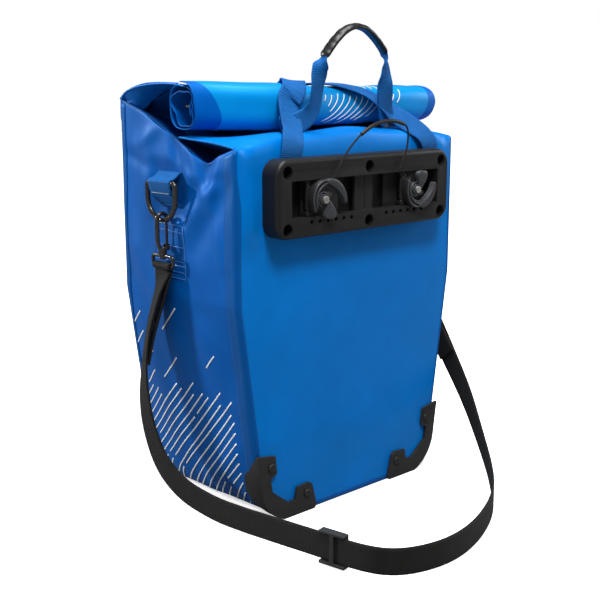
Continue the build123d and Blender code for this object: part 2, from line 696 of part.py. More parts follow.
# Each arch: left leg's outer edge, its inner edge, and the heights of both arcs at the middle.
WEB_ARCH = ([(-77, 0), (-60, 30), (-54, 52), (-44, 68)], [(-55, 0), (-41, 28), (-35, 50), (-37, 64)],
            97.0, 90.0)
GRIP_ARCH = ([(-50, 66), (-47, 70)], [(-40.5, 66), (-38, 69)], 101.0, 93.0)
GROOVE_ARCH = ([(-62, 52), (-44.3, 68.3)], [(-30, 50), (-36.7, 63.7)], 97.3, 89.7)
web_arch = handle_band(*WEB_ARCH)
save("handle_webbing", extrude(web_arch, WEB_T / 2, both=True))
grip_arch = handle_band(*GRIP_ARCH)
groove_arch = handle_band(*GROOVE_ARCH)
grip = extrude(grip_arch, GRIP_DEPTH / 2, both=True) - extrude(groove_arch, WEB_T / 2 + GAP, both=True)
save("handle_grip", grip)

# ---------------------------------------------------------------- closure straps and buckle

CLOSURE_T = 1.6
LEFT_CLOSURE_R = 28.2
RIGHT_CLOSURE_R = 28.8
# Depth and height of the webbing behind the roll and in front of it; degrees round the roll between.
over_back = [(-87.4, 349.5), (-87.7, 354.6), (-70.6, 368.4)]
over_front = [(10, 407), (70, 400), (82, 398.4), (87.8, 390), (87.8, 352)]
over_roll = [100, 80, 60, 40, 20, 0]


def closure_strap(across, radius):
    """Webbing up the back, over the roll and down the front, through the given X at each station."""
    arc = [(ROLL_Y - radius * sin(radians(a)), ROLL_Z + radius * cos(radians(a))) for a in over_roll]
    route = over_back + arc + over_front
    return band([((x, y, z), (1, 0, 0)) for x, (y, z) in zip(across, route)], WEB_W, CLOSURE_T)


left_x = [-86, -86, -80, -76, -74, -71, -68, -65, -62, -46, -20, -15, -13, -13]
right_x = [90, 90, 85, 79, 72, 62, 50, 38, 27, 20, 15.5, 14, 13, 13]
save("left_closure_strap", closure_strap(left_x, LEFT_CLOSURE_R))
save("right_closure_strap", closure_strap(right_x, RIGHT_CLOSURE_R))

BUCKLE_Y = 89.0
BUCKLE_T = 8.5
BUCKLE_HALF = 17.0
SOCKET_LOW = 290.0
SOCKET_HIGH = 314.0
PLUG_LOW = 318.0
PLUG_HIGH = 330.0
BUCKLE_STRAP_TOP = 368.0
ANCHOR_LOW = 236.0
ANCHOR_TUCK = 8.0
CORE_BACK = BUCKLE_Y + 2.2
CORE_FRONT = BUCKLE_Y + 6.1
MOUTH_HALF = 14.5
MOUTH_BACK = BUCKLE_Y + 1.6
MOUTH_FRONT = BUCKLE_Y + 6.7
MOUTH_FLOOR = 2.5
SIDE_LOW = 297.0
SIDE_HIGH = 309.0
SOCKET_EDGE_R = 3.0
PLUG_EDGE_R = 2.0
TONGUE_HALF = 4.0
TONGUE_LOW = 296.0
ARM_X = 11.5
ARM_SLOT_HALF = 3.0
ARM_SLOT_DEPTH = 4.0
ARM_SLOT_BACK = BUCKLE_Y + 2.0
ARM_SLOT_FRONT = BUCKLE_Y + 6.3
ARM_BACK = BUCKLE_Y + 2.5
ARM_FRONT = BUCKLE_Y + 5.8
ARM_OUTLINE = ((-ARM_X - 1.4, PLUG_LOW + 2), (-ARM_X - 1.4, 309), (-16.4, 307.5), (-16.2, 300),
               (-13.5, 295.5), (-ARM_X + 1, 294.5), (-ARM_X + 1.2, PLUG_LOW + 2))
buckle_front = BUCKLE_Y + BUCKLE_T
half_web = WEB_W / 2
anchor_back = FRONT_Y + GAP
anchor_high = SOCKET_LOW + ANCHOR_TUCK
strap_back = BUCKLE_Y + CLOSURE_T
save("buckle_strap", block(-half_web, half_web, BUCKLE_Y, strap_back, PLUG_HIGH + GAP, BUCKLE_STRAP_TOP))
anchor_front = anchor_back + CLOSURE_T
save("anchor_strap", block(-half_web, half_web, anchor_back, anchor_front, ANCHOR_LOW, anchor_high))
socket = block(-BUCKLE_HALF, BUCKLE_HALF, BUCKLE_Y, buckle_front, SOCKET_LOW, SOCKET_HIGH)
socket = fillet(socket.edges().filter_by(Axis.Z), SOCKET_EDGE_R)
socket -= block(-MOUTH_HALF, MOUTH_HALF, MOUTH_BACK, MOUTH_FRONT,
                SOCKET_LOW + MOUTH_FLOOR, SOCKET_HIGH + OVER)
socket -= block(-BUCKLE_HALF - OVER, BUCKLE_HALF + OVER, CORE_BACK, CORE_FRONT, SIDE_LOW, SIDE_HIGH)
save("buckle_socket", socket)
plug = block(-BUCKLE_HALF, BUCKLE_HALF, BUCKLE_Y, buckle_front - OVER, PLUG_LOW, PLUG_HIGH)
plug = fillet(plug.edges().filter_by(Axis.Y), PLUG_EDGE_R)
plug += block(-TONGUE_HALF, TONGUE_HALF, CORE_BACK, CORE_FRONT, TONGUE_LOW, PLUG_LOW + OVER)
for x in (-ARM_X, ARM_X):
    plug -= block(x - ARM_SLOT_HALF, x + ARM_SLOT_HALF, ARM_SLOT_BACK, ARM_SLOT_FRONT,
                  PLUG_LOW - OVER, PLUG_LOW + ARM_SLOT_DEPTH)
save("buckle_plug", plug)
left_arm = slab_xz(face_of(*ARM_OUTLINE), ARM_BACK, ARM_FRONT)
save("left_buckle_arm", left_arm)
save("right_buckle_arm", mirrored(left_arm))
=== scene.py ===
import math
import random
import bmesh
import bpy
import numpy as np
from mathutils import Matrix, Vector, geometry, noise


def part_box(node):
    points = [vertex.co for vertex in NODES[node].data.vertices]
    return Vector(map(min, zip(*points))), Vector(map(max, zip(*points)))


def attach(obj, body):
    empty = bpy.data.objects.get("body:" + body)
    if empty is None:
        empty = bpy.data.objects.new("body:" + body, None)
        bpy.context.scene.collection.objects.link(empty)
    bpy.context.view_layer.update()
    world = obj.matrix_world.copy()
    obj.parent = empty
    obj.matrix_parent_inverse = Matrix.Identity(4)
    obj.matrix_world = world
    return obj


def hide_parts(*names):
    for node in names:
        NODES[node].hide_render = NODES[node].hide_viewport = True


# A roll-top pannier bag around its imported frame. Metres, in the frame's own axes: the side that
# faces the wheel looks along -Y. MM turns a millimetre value into metres.

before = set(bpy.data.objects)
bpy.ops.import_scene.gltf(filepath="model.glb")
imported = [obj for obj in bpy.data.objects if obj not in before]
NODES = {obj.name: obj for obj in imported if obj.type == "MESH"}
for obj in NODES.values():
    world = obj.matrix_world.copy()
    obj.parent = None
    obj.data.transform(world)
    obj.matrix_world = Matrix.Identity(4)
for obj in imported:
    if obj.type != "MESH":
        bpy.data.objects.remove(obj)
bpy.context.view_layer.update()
SEED = 7
random.seed(SEED)
MM = 0.001
SIDES = ((-1, "left"), (1, "right"))

# ---------------------------------------------------------------- places, from the frame

PANEL_LOW, PANEL_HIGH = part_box("back_panel")
ROLL_LOW, ROLL_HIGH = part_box("roll_top")
PLATE_LOW, PLATE_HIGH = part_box("mount_plate")
BOTTOM_LOW, BOTTOM_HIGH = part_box("bottom_panel")
HALF = PANEL_HIGH.x
BACK = PANEL_LOW.y
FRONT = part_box("front_panel")[1].y
ROLL_Y = (ROLL_LOW.y + ROLL_HIGH.y) / 2
ROLL_TOP = ROLL_HIGH.z
SEAM_Z = PLATE_HIGH.z + 6 * MM
TAB_LOW, TAB_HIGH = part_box("left_ring_tab")
FABRIC = 1.2 * MM


def bag_outline():
    """The bag's outline from the middle of its base up one side, as (half width, height) points."""
    flat = [Vector((abs(v.co.x), v.co.z)) for v in NODES["back_panel"].data.vertices]
    hull = [flat[i] for i in geometry.convex_hull_2d(flat)]
    side = sorted((p for p in hull if p.x > BOTTOM_HIGH.x - 2 * MM), key=lambda p: (p.y, p.x))
    below = [p for p in side if p.y < SEAM_Z - MM]
    return [Vector((0, 0))] + below + [Vector((HALF, SEAM_Z + 60 * MM))]


OUTLINE = bag_outline()
REACH = [0.0]
for a, b in zip(OUTLINE, OUTLINE[1:]):
    REACH.append(REACH[-1] + (b - a).length)


def outline_at(s):
    """Half width, height and outward direction at arc length s from the middle of the base."""
    step = 6 * MM
    x_a, x, x_b = (float(np.interp(s + d, REACH, [p.x for p in OUTLINE])) for d in (-step, 0, step))
    z_a, z, z_b = (float(np.interp(s + d, REACH, [p.y for p in OUTLINE])) for d in (-step, 0, step))
    along = Vector((x_b - x_a, z_b - z_a)).normalized()
    return x, z, along.y, -along.x


def half_width(z):
    return float(np.interp(z, [p.y for p in OUTLINE[1:]], [p.x for p in OUTLINE[1:]]))


def reach_of(z):
    return float(np.interp(z, [p.y for p in OUTLINE[1:]], REACH[1:]))


# ---------------------------------------------------------------- small helpers

def smooth(t):
    t = min(1.0, max(0.0, t))
    return t * t * (3 - 2 * t)


def between(four, f):
    """The point at f from 0 to 1 between the middle two of four points on a smooth curve."""
    return Vector([0.5 * (2 * b + (c - a) * f + (2 * a - 5 * b + 4 * c - d) * f * f
                          + (3 * b - a - 3 * c + d) * f ** 3) for a, b, c, d in zip(*four)])


def curve_through(points, t):
    """A smooth curve through points, at t from 0 to 1."""
    count = len(points) - 1
    place = min(max(t, 0.0), 1.0) * count
    i = min(int(place), count - 1)
    return between((points[max(i - 1, 0)], points[i], points[i + 1], points[min(i + 2, count)]), place - i)


def way_at(line, k):
    """The direction of a line of points at its point k."""
    return (line[min(k + 1, len(line) - 1)] - line[max(k - 1, 0)]).normalized()


def mm(*values):
    return Vector([v * MM for v in values])


def finish_piece(obj, body, replaces=()):
    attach(obj, body)
    if replaces:
        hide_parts(*replaces)
    return obj


def linked(name, data):
    obj = bpy.data.objects.new(name, data)
    bpy.context.scene.collection.objects.link(obj)
    return obj


def quads(rows, count, closed=True):
    """Faces between rows of count points each, either closed into rings or open as a sheet."""
    faces = []
    for k in range(rows):
        for j in range(count if closed else count - 1):
            a, b = k * count + j, k * count + (j + 1) % count
            faces.append((a, b, b + count, a + count))
    return faces


def capped(rows, count):
    """Rings of faces with a flat face on each end."""
    ends = [tuple(range(count))[::-1], tuple(rows * count + j for j in range(count))]
    return quads(rows, count) + ends


def layered(obj, thickness, offset=-1, subdivide=0):
    """Give a sheet its thickness, and smooth it by subdivision."""
    if thickness:
        solid = obj.modifiers.new("thickness", "SOLIDIFY")
        solid.thickness, solid.offset = thickness, offset
    if subdivide:
        soft = obj.modifiers.new("smooth", "SUBSURF")
        soft.levels = soft.render_levels = subdivide
    return obj


def mesh_object(name, points, faces, uvs=None, material=None):
    mesh = bpy.data.meshes.new(name)
    mesh.from_pydata([tuple(p) for p in points], [], faces)
    if uvs is not None:
        layer = mesh.uv_layers.new(name="UVMap")
        for loop in mesh.loops:
            layer.data[loop.index].uv = uvs[loop.vertex_index]
    for polygon in mesh.polygons:
        polygon.use_smooth = True
    if material:
        mesh.materials.append(material)
    return linked(name, mesh)


def grid_sheet(name, rows, cols, place, material, outward, thickness=FABRIC, subdivide=1):
    """A fabric sheet: place(u, v) gives each point for u across and v along, both 0 to 1."""
    points = [place(j / cols, i / rows) for i in range(rows + 1) for j in range(cols + 1)]
    uvs = [(j / cols, i / rows) for i in range(rows + 1) for j in range(cols + 1)]
    obj = mesh_object(name, points, quads(rows, cols + 1, False), uvs, material)
    turned = sum(p.normal.dot(Vector(outward)) * p.area for p in obj.data.polygons)
    if turned < 0:
        obj.data.flip_normals()
    return layered(obj, thickness, subdivide=subdivide)


def merge(name, objects):
    """One object made of several, with their modifiers applied first."""
    depsgraph = bpy.context.evaluated_depsgraph_get()
    joined = bmesh.new()
    materials = []
    for obj in objects:
        made = bpy.data.meshes.new_from_object(obj.evaluated_get(depsgraph))
        for polygon in made.polygons:
            used = obj.data.materials[polygon.material_index]
            if used not in materials:
                materials.append(used)
            polygon.material_index = materials.index(used)
        joined.from_mesh(made)
        bpy.data.objects.remove(obj)
    mesh = bpy.data.meshes.new(name)
    joined.to_mesh(mesh)
    joined.free()
    for material in materials:
        mesh.materials.append(material)
    return linked(name, mesh)


# ---------------------------------------------------------------- materials

def socket(tree, target, value):
    if isinstance(value, bpy.types.NodeSocket):
        tree.links.new(value, target)
    else:
        target.default_value = value


def add_node(tree, kind, inputs=(), **settings):
    """A node with its settings and inputs, where an input is a value or another node's output."""
    made = tree.nodes.new(kind)
    for key, value in settings.items():
        setattr(made, key, value)
    for key, value in dict(inputs).items():
        socket(tree, made.inputs[key], value)
    return made


def start_material(name, **inputs):
    material = bpy.data.materials.new(name)
    material.use_nodes = True
    tree = material.node_tree
    shader = tree.nodes["Principled BSDF"]
    for key, value in inputs.items():
        shader.inputs[key.replace("_", " ")].default_value = value
    place = add_node(tree, "ShaderNodeTexCoord")
    return material, tree, shader, place


def noise_of(tree, vector, scale, detail=2.0, roughness=0.5):
    inputs = {"Vector": vector, "Scale": scale, "Detail": detail, "Roughness": roughness}
    return add_node(tree, "ShaderNodeTexNoise", inputs).outputs["Fac"]


def ramp_of(tree, factor, stops):
    made = add_node(tree, "ShaderNodeValToRGB", {"Fac": factor})
    ramp = made.color_ramp
    while len(ramp.elements) < len(stops):
        ramp.elements.new(0.5)
    for element, (at, colour) in zip(ramp.elements, stops):
        element.position = at
        element.color = (*colour, 1) if len(colour) == 3 else colour
    return made.outputs["Color"]


def maths(tree, kind, a, b=0.0, c=0.5):
    return add_node(tree, "ShaderNodeMath", {0: a, 1: b, 2: c}, operation=kind).outputs[0]


def mix_of(tree, factor, a, b, blend="MIX"):
    made = add_node(tree, "ShaderNodeMix", data_type="RGBA", blend_type=blend)
    for key, value in ((0, factor), (6, a), (7, b)):
        socket(tree, made.inputs[key], value)
    return made.outputs[2]


def bump_of(tree, height, strength, distance, under=None):
    inputs = {"Height": height, "Strength": strength, "Distance": distance}
    if under is not None:
        inputs["Normal"] = under
    return add_node(tree, "ShaderNodeBump", inputs).outputs["Normal"]


def rough_from(tree, shader, source, low, high):
    made = add_node(tree, "ShaderNodeMapRange", {0: source, 3: low, 4: high})
    socket(tree, shader.inputs["Roughness"], made.outputs[0])


def tone(colour, factor):
    return tuple(min(1.0, c * factor) for c in colour)


def coated_fabric(name, colour, roughness, gloss, wrinkle, tint_of_shine=(0.05, 0.6, 1.0), shine=0.5):
    """Welded tarpaulin: coloured coating over a fine scrim, with broad soft creases and scuffs."""
    material, tree, shader, place = start_material(name)
    spot = place.outputs["Object"]
    broad = noise_of(tree, spot, 9.0, 2.0)
    cloudy = noise_of(tree, spot, 45.0, 4.0, 0.6)
    grain = noise_of(tree, spot, 1400.0, 2.0)
    tint = ramp_of(tree, broad, ((0.3, tone(colour, 0.9)), (0.7, tone(colour, 1.08))))
    scuff = ramp_of(tree, cloudy, ((0.35, (0.92, 0.92, 0.92)), (0.75, (1.0, 1.0, 1.0))))
    socket(tree, shader.inputs["Base Color"], mix_of(tree, 1.0, tint, scuff, "MULTIPLY"))
    rough_from(tree, shader, cloudy, roughness - 0.06, roughness + 0.1)
    shader.inputs["Specular IOR Level"].default_value = shine
    shader.inputs["Specular Tint"].default_value = (*tint_of_shine, 1)
    shader.inputs["Coat Weight"].default_value = gloss
    shader.inputs["Coat Roughness"].default_value = 0.28
    axes = add_node(tree, "ShaderNodeSeparateXYZ", {0: spot})
    slanted = maths(tree, "ADD", axes.outputs["X"], axes.outputs["Y"])
    threads = 2 * math.pi / (1.1 * MM)
    warp = maths(tree, "SINE", maths(tree, "MULTIPLY", slanted, threads))
    weft = maths(tree, "SINE", maths(tree, "MULTIPLY", axes.outputs["Z"], threads))
    scrim = maths(tree, "MULTIPLY", warp, weft)
    relief = maths(tree, "ADD", maths(tree, "MULTIPLY", scrim, 0.25), grain)
    fine = bump_of(tree, relief, 0.12, 0.15 * MM)
    soft = bump_of(tree, broad, wrinkle, 8 * MM, fine)
    socket(tree, shader.inputs["Normal"], bump_of(tree, cloudy, wrinkle * 0.5, 0.7 * MM, soft))
    return material


def webbing(name, colour, rib=1.5 * MM, sheen=0.3):
    """Woven strap: ribs along its length and picks across it, on UVs laid out in metres."""
    material, tree, shader, place = start_material(name, Roughness=0.72)
    axes = add_node(tree, "ShaderNodeSeparateXYZ", {0: place.outputs["UV"]})
    across, along = axes.outputs["X"], axes.outputs["Y"]
    turn = 2 * math.pi
    ribs = maths(tree, "MULTIPLY", across, turn / rib)
    climb = maths(tree, "MULTIPLY", along, turn / (rib * 1.4))
    lean, back = (maths(tree, "SINE", maths(tree, kind, ribs, climb)) for kind in ("ADD", "SUBTRACT"))
    weave = maths(tree, "MULTIPLY", lean, back)
    picks = maths(tree, "SINE", maths(tree, "MULTIPLY", along, turn / (rib * 0.55)))
    fibres = noise_of(tree, place.outputs["Object"], 900.0, 3.0)
    fade = noise_of(tree, place.outputs["Object"], 30.0, 3.0)
    height = maths(tree, "ADD", weave, maths(tree, "MULTIPLY", picks, 0.35))
    height = maths(tree, "ADD", height, maths(tree, "MULTIPLY", fibres, 0.8))
    shade = ramp_of(tree, maths(tree, "MULTIPLY_ADD", weave, 0.35),
                    ((0.0, tone(colour, 0.5)), (0.5, colour), (1.0, tone(colour, 1.45))))
    wear = ramp_of(tree, fade, ((0.3, (0.86, 0.86, 0.86)), (0.7, (1.06, 1.06, 1.06))))
    socket(tree, shader.inputs["Base Color"], mix_of(tree, 1.0, shade, wear, "MULTIPLY"))
    socket(tree, shader.inputs["Normal"], bump_of(tree, height, 0.6, 0.35 * MM))
    shader.inputs["Specular IOR Level"].default_value = 0.2
    shader.inputs["Sheen Weight"].default_value = sheen
    shader.inputs["Sheen Roughness"].default_value = 0.4
    return material


def moulded(name, colour, roughness, grain_size, relief, edge_wear_and_highlight=1.9, gloss=0.3):
    """Moulded plastic or rubber: sparked grain, cloudy gloss, and edges painted lighter, partly as rubbed
    wear and partly as painted highlight.
    """
    material, tree, shader, place = start_material(name, Specular_IOR_Level=gloss)
    spot = place.outputs["Object"]
    grain = noise_of(tree, spot, 1 / grain_size, 3.0, 0.7)
    cloudy = noise_of(tree, spot, 60.0, 3.0)
    # Sharp edges found by pointiness are painted lighter: partly rubbed wear, partly painted highlight.
    edges = add_node(tree, "ShaderNodeNewGeometry").outputs["Pointiness"]
    rubbed_and_highlit_edges = ramp_of(tree, edges, ((0.5, (0, 0, 0)), (0.58, (1, 1, 1))))
    speck = ramp_of(tree, grain, ((0.3, tone(colour, 0.85)), (0.75, tone(colour, 1.25))))
    socket(tree, shader.inputs["Base Color"], mix_of(tree, rubbed_and_highlit_edges, speck, (*tone(colour, edge_wear_and_highlight), 1)))
    rough_from(tree, shader, cloudy, roughness - 0.08, roughness + 0.1)
    socket(tree, shader.inputs["Normal"], bump_of(tree, grain, relief, 0.12 * MM))
    return material


def metal(name, colour, roughness, streak=(60.0, 60.0, 900.0)):
    """Turned or drawn metal with fine streaks and patchy polish."""
    material, tree, shader, place = start_material(name, Metallic=0.7)
    stretch = add_node(tree, "ShaderNodeMapping", {"Vector": place.outputs["Object"], "Scale": streak})
    lines = noise_of(tree, stretch.outputs[0], 1.0, 3.0)
    patch = noise_of(tree, place.outputs["Object"], 120.0, 2.0)
    shade = ramp_of(tree, patch, ((0.3, tone(colour, 0.8)), (0.7, tone(colour, 1.15))))
    socket(tree, shader.inputs["Base Color"], shade)
    rough_from(tree, shader, lines, roughness - 0.08, roughness + 0.14)
    socket(tree, shader.inputs["Normal"], bump_of(tree, lines, 0.1, 0.05 * MM))
    return material


def print_film(name, colour):
    """Printed reflective film: fine glass-bead speckle."""
    material, tree, shader, place = start_material(name, Roughness=0.4)
    beads = noise_of(tree, place.outputs["Object"], 2500.0, 1.0)
    shade = ramp_of(tree, beads, ((0.3, tone(colour, 0.85)), (0.7, colour)))
    socket(tree, shader.inputs["Base Color"], shade)
    socket(tree, shader.inputs["Normal"], bump_of(tree, beads, 0.1, 0.05 * MM))
    return material


BACK_BLUE = coated_fabric("back_fabric", (0.0, 0.152, 0.53), 0.38, 0.02, 0.2, (0.0, 0.55, 1.0), 0.42)
SIDE_BLUE = coated_fabric("side_fabric", (0.0, 0.092, 0.40), 0.5, 0.01, 0.35, (0.02, 0.45, 1.0), 0.32)
# A much darker copy of the side fabric for the pocket inside each folded end: painted shade for the shadowed
# cavity.
POCKET_SHADE_BLUE = coated_fabric("inner_fabric", (0.001, 0.035, 0.17), 0.55, 0.0, 0.35)
TAPE_BLUE = coated_fabric("tape_fabric", (0.002, 0.07, 0.30), 0.5, 0.01, 0.1)
# A lighter copy of the panel fabric for the roll's outer turn: painted light for the light falling on its
# top.
ROLL_LIT_BLUE = coated_fabric("roll_fabric", (0.0, 0.22, 0.58), 0.38, 0.05, 0.2)
BLUE_WEB = webbing("blue_webbing", (0.0, 0.095, 0.33), rib=2.4 * MM, sheen=0.0)
BLACK_WEB = webbing("black_webbing", (0.009, 0.0085, 0.008), sheen=0.03)
THREAD = webbing("stitch_thread", (0.01, 0.10, 0.40), rib=0.5 * MM, sheen=0.1)
WHITE_THREAD = webbing("white_thread", (0.75, 0.8, 0.85), rib=0.5 * MM)
# The last number of each plastic sets how much lighter its edges are painted, partly as wear and partly as
# painted highlight; the hook's 2.2 paints the highlights on its rims.
PLASTIC = moulded("plate_plastic", (0.0085, 0.0085, 0.009), 0.44, 0.5 * MM, 0.3, 1.6, 0.24)
DARK_PLASTIC = moulded("carriage_plastic", (0.008, 0.008, 0.0085), 0.42, 0.5 * MM, 0.2)
GUARD_PLASTIC = moulded("guard_plastic", (0.013, 0.0125, 0.0125), 0.5, 0.7 * MM, 0.4)
HOOK_PLASTIC = moulded("hook_plastic", (0.022, 0.023, 0.026), 0.33, 0.6 * MM, 0.12, 2.2)
RUBBER = moulded("grip_rubber", (0.006, 0.006, 0.0065), 0.4, 1.6 * MM, 0.05, 1.3, 0.4)
CORD = webbing("cord_braid", (0.008, 0.008, 0.009), rib=0.8 * MM, sheen=0.05)
BOARD = moulded("board_plastic", (0.03, 0.03, 0.032), 0.5, 1.2 * MM, 0.4)
ALLOY = metal("backing_alloy", (0.62, 0.63, 0.65), 0.35)
STEEL = metal("steel", (0.5, 0.49, 0.47), 0.34)
GUNMETAL = metal("gunmetal", (0.05, 0.048, 0.046), 0.24)
PRINT = print_film("reflective_print", (0.80, 0.83, 0.86))
DULL_PRINT = print_film("weld_mark", (0.05, 0.17, 0.5))


# ---------------------------------------------------------------- bag body

# The gusset's top edge: depth position and height, from the back seam down to a notch, up to the front.
GUSSET_TOP = [(-86, 357), (-64, 350), (-45, 341), (-19, 353), (11, 368), (46, 384), (86, 397)]
# Soft creases in the side fabric: from and to as (depth, height), half width and height of the crease.
CREASES = [
    ((-72, 338), (2, 262), 10, 2.6),
    ((-74, 322), (-30, 262), 11, -2.4),
    ((-52, 342), (-14, 296), 8, -2.2),
    ((38, 378), (44, 300), 12, 2.2),
    ((16, 368), (8, 336), 8, 1.6),
    ((62, 372), (70, 270), 10, -1.8),
    ((84, 300), (56, 236), 12, 2.2),
    ((86, 236), (44, 196), 13, -2.0),
    ((30, 300), (-34, 206), 14, -2.2),
    ((-10, 250), (-58, 120), 16, 2.0),
    ((70, 180), (20, 60), 18, 1.8),
    ((-70, 150), (-30, 60), 15, -1.6),
    ((80, 60), (10, 16), 10, 1.4),
    ((-60, 70), (0, 14), 9, 1.4),
    ((-62, 346), (-50, 300), 5.5, 2.4),
    ((-22, 352), (-44, 314), 6, 2.6),
    ((2, 362), (-8, 330), 5, -2.2),
    ((-34, 326), (14, 338), 5.5, 2.0),
    ((34, 334), (74, 344), 6, -2.0),
    ((-56, 300), (-66, 250), 6, 1.6),
    ((22, 372), (60, 352), 6, 2.2),
    ((-68, 330), (-40, 322), 5, -1.8),
]


def gusset_top_z(y):
    return float(np.interp(y / MM, [p[0] for p in GUSSET_TOP], [p[1] for p in GUSSET_TOP])) * MM


def ridge(y, z, start, end, width):
    """How near (y, z) is to the line from start to end, as a soft 0 to 1."""
    a, b, p = Vector(start) * MM, Vector(end) * MM, Vector((y, z))
    line = b - a
    t = max(0.0, min(1.0, (p - a).dot(line) / line.length_squared))
    fade = 0.35 + 0.65 * math.sin(math.pi * (0.15 + 0.7 * t))
    return math.exp(-((p - a - line * t).length / (width * MM)) ** 2) * fade


def keep_flat(y, z):
    """0 where a tab is sewn to the side, 1 away from it."""
    middle = (TAB_LOW.y + TAB_HIGH.y) / 2
    reach_y = abs(y - middle) - (TAB_HIGH.y - TAB_LOW.y) / 2
    reach_z = max(TAB_LOW.z - 6 * MM - z, z - TAB_HIGH.z - 2 * MM)
    return smooth(max(reach_y, reach_z) / (14 * MM))


def gusset_swell(side, y, z):
    """How far the side fabric stands out from the flat gusset."""
    across = 1 - (abs(y) / FRONT) ** 2.4
    up = smooth(z / (60 * MM)) * smooth((gusset_top_z(y) - z) / (50 * MM))
    swell = 3.6 * MM * across * up
    for start, end, width, height in CREASES:
        swell += height * MM * ridge(y, z, start, end, width) * smooth(across * 4)
    swell += 1.1 * MM * noise.noise(Vector((side * 3.0, y * 16, z * 16))) * smooth(across * 5)
    return swell * keep_flat(y, z)


GUSSET_START = BOTTOM_HIGH.x + 0.5 * MM
EDGE_TUCK = 1.2 * MM


def gusset_point(side, s_share, y):
    """A point of the side skin: s_share 0 at the base edge, 1 at the gusset's top edge."""
    top = reach_of(gusset_top_z(y))
    s = GUSSET_START + (top - GUSSET_START) * s_share
    x, z, out_x, out_z = outline_at(s)
    swell = gusset_swell(side, y, z) - EDGE_TUCK * (1 - smooth((FRONT - abs(y)) / (5 * MM)))
    return Vector((side * (x + out_x * swell), y, z + out_z * swell))


def gusset_skin(side, name):
    inner = FRONT - 0.3 * MM

    def place(u, v):
        return gusset_point(side, v, -inner + 2 * inner * u)

    obj = grid_sheet(f"{name}_gusset_skin", 96, 44, place, SIDE_BLUE, (side, 0, 0))
    return finish_piece(obj, "bag", [f"{name}_gusset"])


SHOULDER_Z = SEAM_Z - 4 * MM
BACK_FOLD_Z = 346 * MM
BACK_FOLD_SHARE = 0.86
EDGE_R = 4.5 * MM


def rounded_edge(edge):
    """How far a panel has turned back at a distance from its seam."""
    turn = max(0.0, 1 - edge / EDGE_R)
    return EDGE_R * (1 - math.sqrt(max(0.0, 1 - turn * turn)))


def back_swell(x, z):
    """How far the back fabric bows out between its seams, its plate and its guards."""
    width = half_width(min(z, SHOULDER_Z))
    across = 1 - min(1.0, abs(x) / width) ** 3
    free = smooth((PLATE_LOW.z - 4 * MM - z) / (40 * MM)) * smooth((z - 20 * MM) / (70 * MM))
    bow = 2.6 * MM * across * free
    soft = noise.noise(Vector((x * 7, 11.0, z * 7))) + 0.5 * noise.noise(Vector((x * 17, 4.0, z * 17)))
    bow += 0.5 * MM * soft * across * free
    beside = smooth((abs(x) - PLATE_HIGH.x - 2 * MM) / (12 * MM)) * smooth((width - abs(x)) / (10 * MM))
    upper = smooth((z - PLATE_LOW.z + 30 * MM) / (40 * MM))
    bow += 1.0 * MM * beside * upper * (1 + math.sin(z / (15 * MM) + x * 40))
    return bow


# The back panel's fold forward under the roll: depth and height from the shoulder inwards.
SHOULDER = [(-86, 346), (-85.6, 352), (-82.5, 358), (-77, 361.2), (-70, 362.4), (-62, 362.6), (-52, 360),
            (-40, 356)]
SHOULDER_END = [(-86, 346), (-85.8, 352), (-84, 356.2), (-76, 358), (-62, 360), (-44, 361.5), (-24, 362.6),
                (-4, 364)]


def back_point(u, v):
    """u 0 to 1 from left to right, v 0 to 1 from the base to the fold under the roll."""
    side = 2 * u - 1
    y, z = BACK, v / BACK_FOLD_SHARE * BACK_FOLD_Z
    if v > BACK_FOLD_SHARE:
        t = (v - BACK_FOLD_SHARE) / (1 - BACK_FOLD_SHARE)
        middle, end = (curve_through([mm(*p) for p in curve], t) for curve in (SHOULDER, SHOULDER_END))
        y, z = middle.lerp(end, smooth((abs(side) - 0.62) / 0.34))
    width = half_width(z)
    x = side * width
    folded = smooth((z - SHOULDER_Z) / (10 * MM))
    y += (rounded_edge(width - abs(x)) - back_swell(x, z)) * (1 - folded)
    crown = 1 - abs(side) ** 2
    z += folded * (6.5 * MM * crown + 1.2 * MM * math.sin(side * 9 + 1.0) * crown)
    pinch = ((abs(x) - HALF + 12 * MM) / (6 * MM)) ** 2 + ((z - 357 * MM) / (6 * MM)) ** 2
    y += 2.2 * MM * math.exp(-pinch)
    return Vector((x, y, z))


def column_share(u):
    """Columns crowd towards both edges, where the panel turns round its seam."""
    return 0.5 - 0.5 * math.cos(math.pi * u) if u not in (0.0, 1.0) else u


def back_skin():
    obj = grid_sheet("back_panel_skin", 110, 96, lambda u, v: back_point(column_share(u), v),
                     BACK_BLUE, (0, -1, 0))
    return finish_piece(obj, "bag", ["back_panel"])


STRAP_ZONE = 34 * MM
RIGHT_DROP = 4.5 * MM
# The front panel's edge and top sheet: depth and height from the front face back to the roll.
TOP_SHEET = [(85.6, 372), (85.6, 388), (83, 396), (76, 400), (60, 402.5), (40, 404), (15, 405.5),
             (-12, 407.5), (-36, 408.6)]
END_SHEET = [(85.6, 372), (85.6, 390), (84, 398), (76, 404.5), (60, 409), (40, 411.5), (20, 412.5),
             (0, 412), (-16, 410)]
FRONT_FOLD_Z = 372 * MM
FRONT_FOLD_SHARE = 0.72


def front_swell(x, z):
    width = half_width(z)
    across = 1 - min(1.0, abs(x) / width) ** 2.6
    up = smooth(z / (70 * MM)) * smooth((380 * MM - z) / (60 * MM))
    free = 0.12 + 0.88 * smooth((abs(x) - STRAP_ZONE + 18 * MM) / (30 * MM))
    free = max(free, smooth((225 * MM - z) / (40 * MM)))
    bow = 7.0 * MM * across * up * free
    bow += 1.3 * MM * noise.noise(Vector((x * 11, 7.0, z * 11))) * across * up * free
    return bow


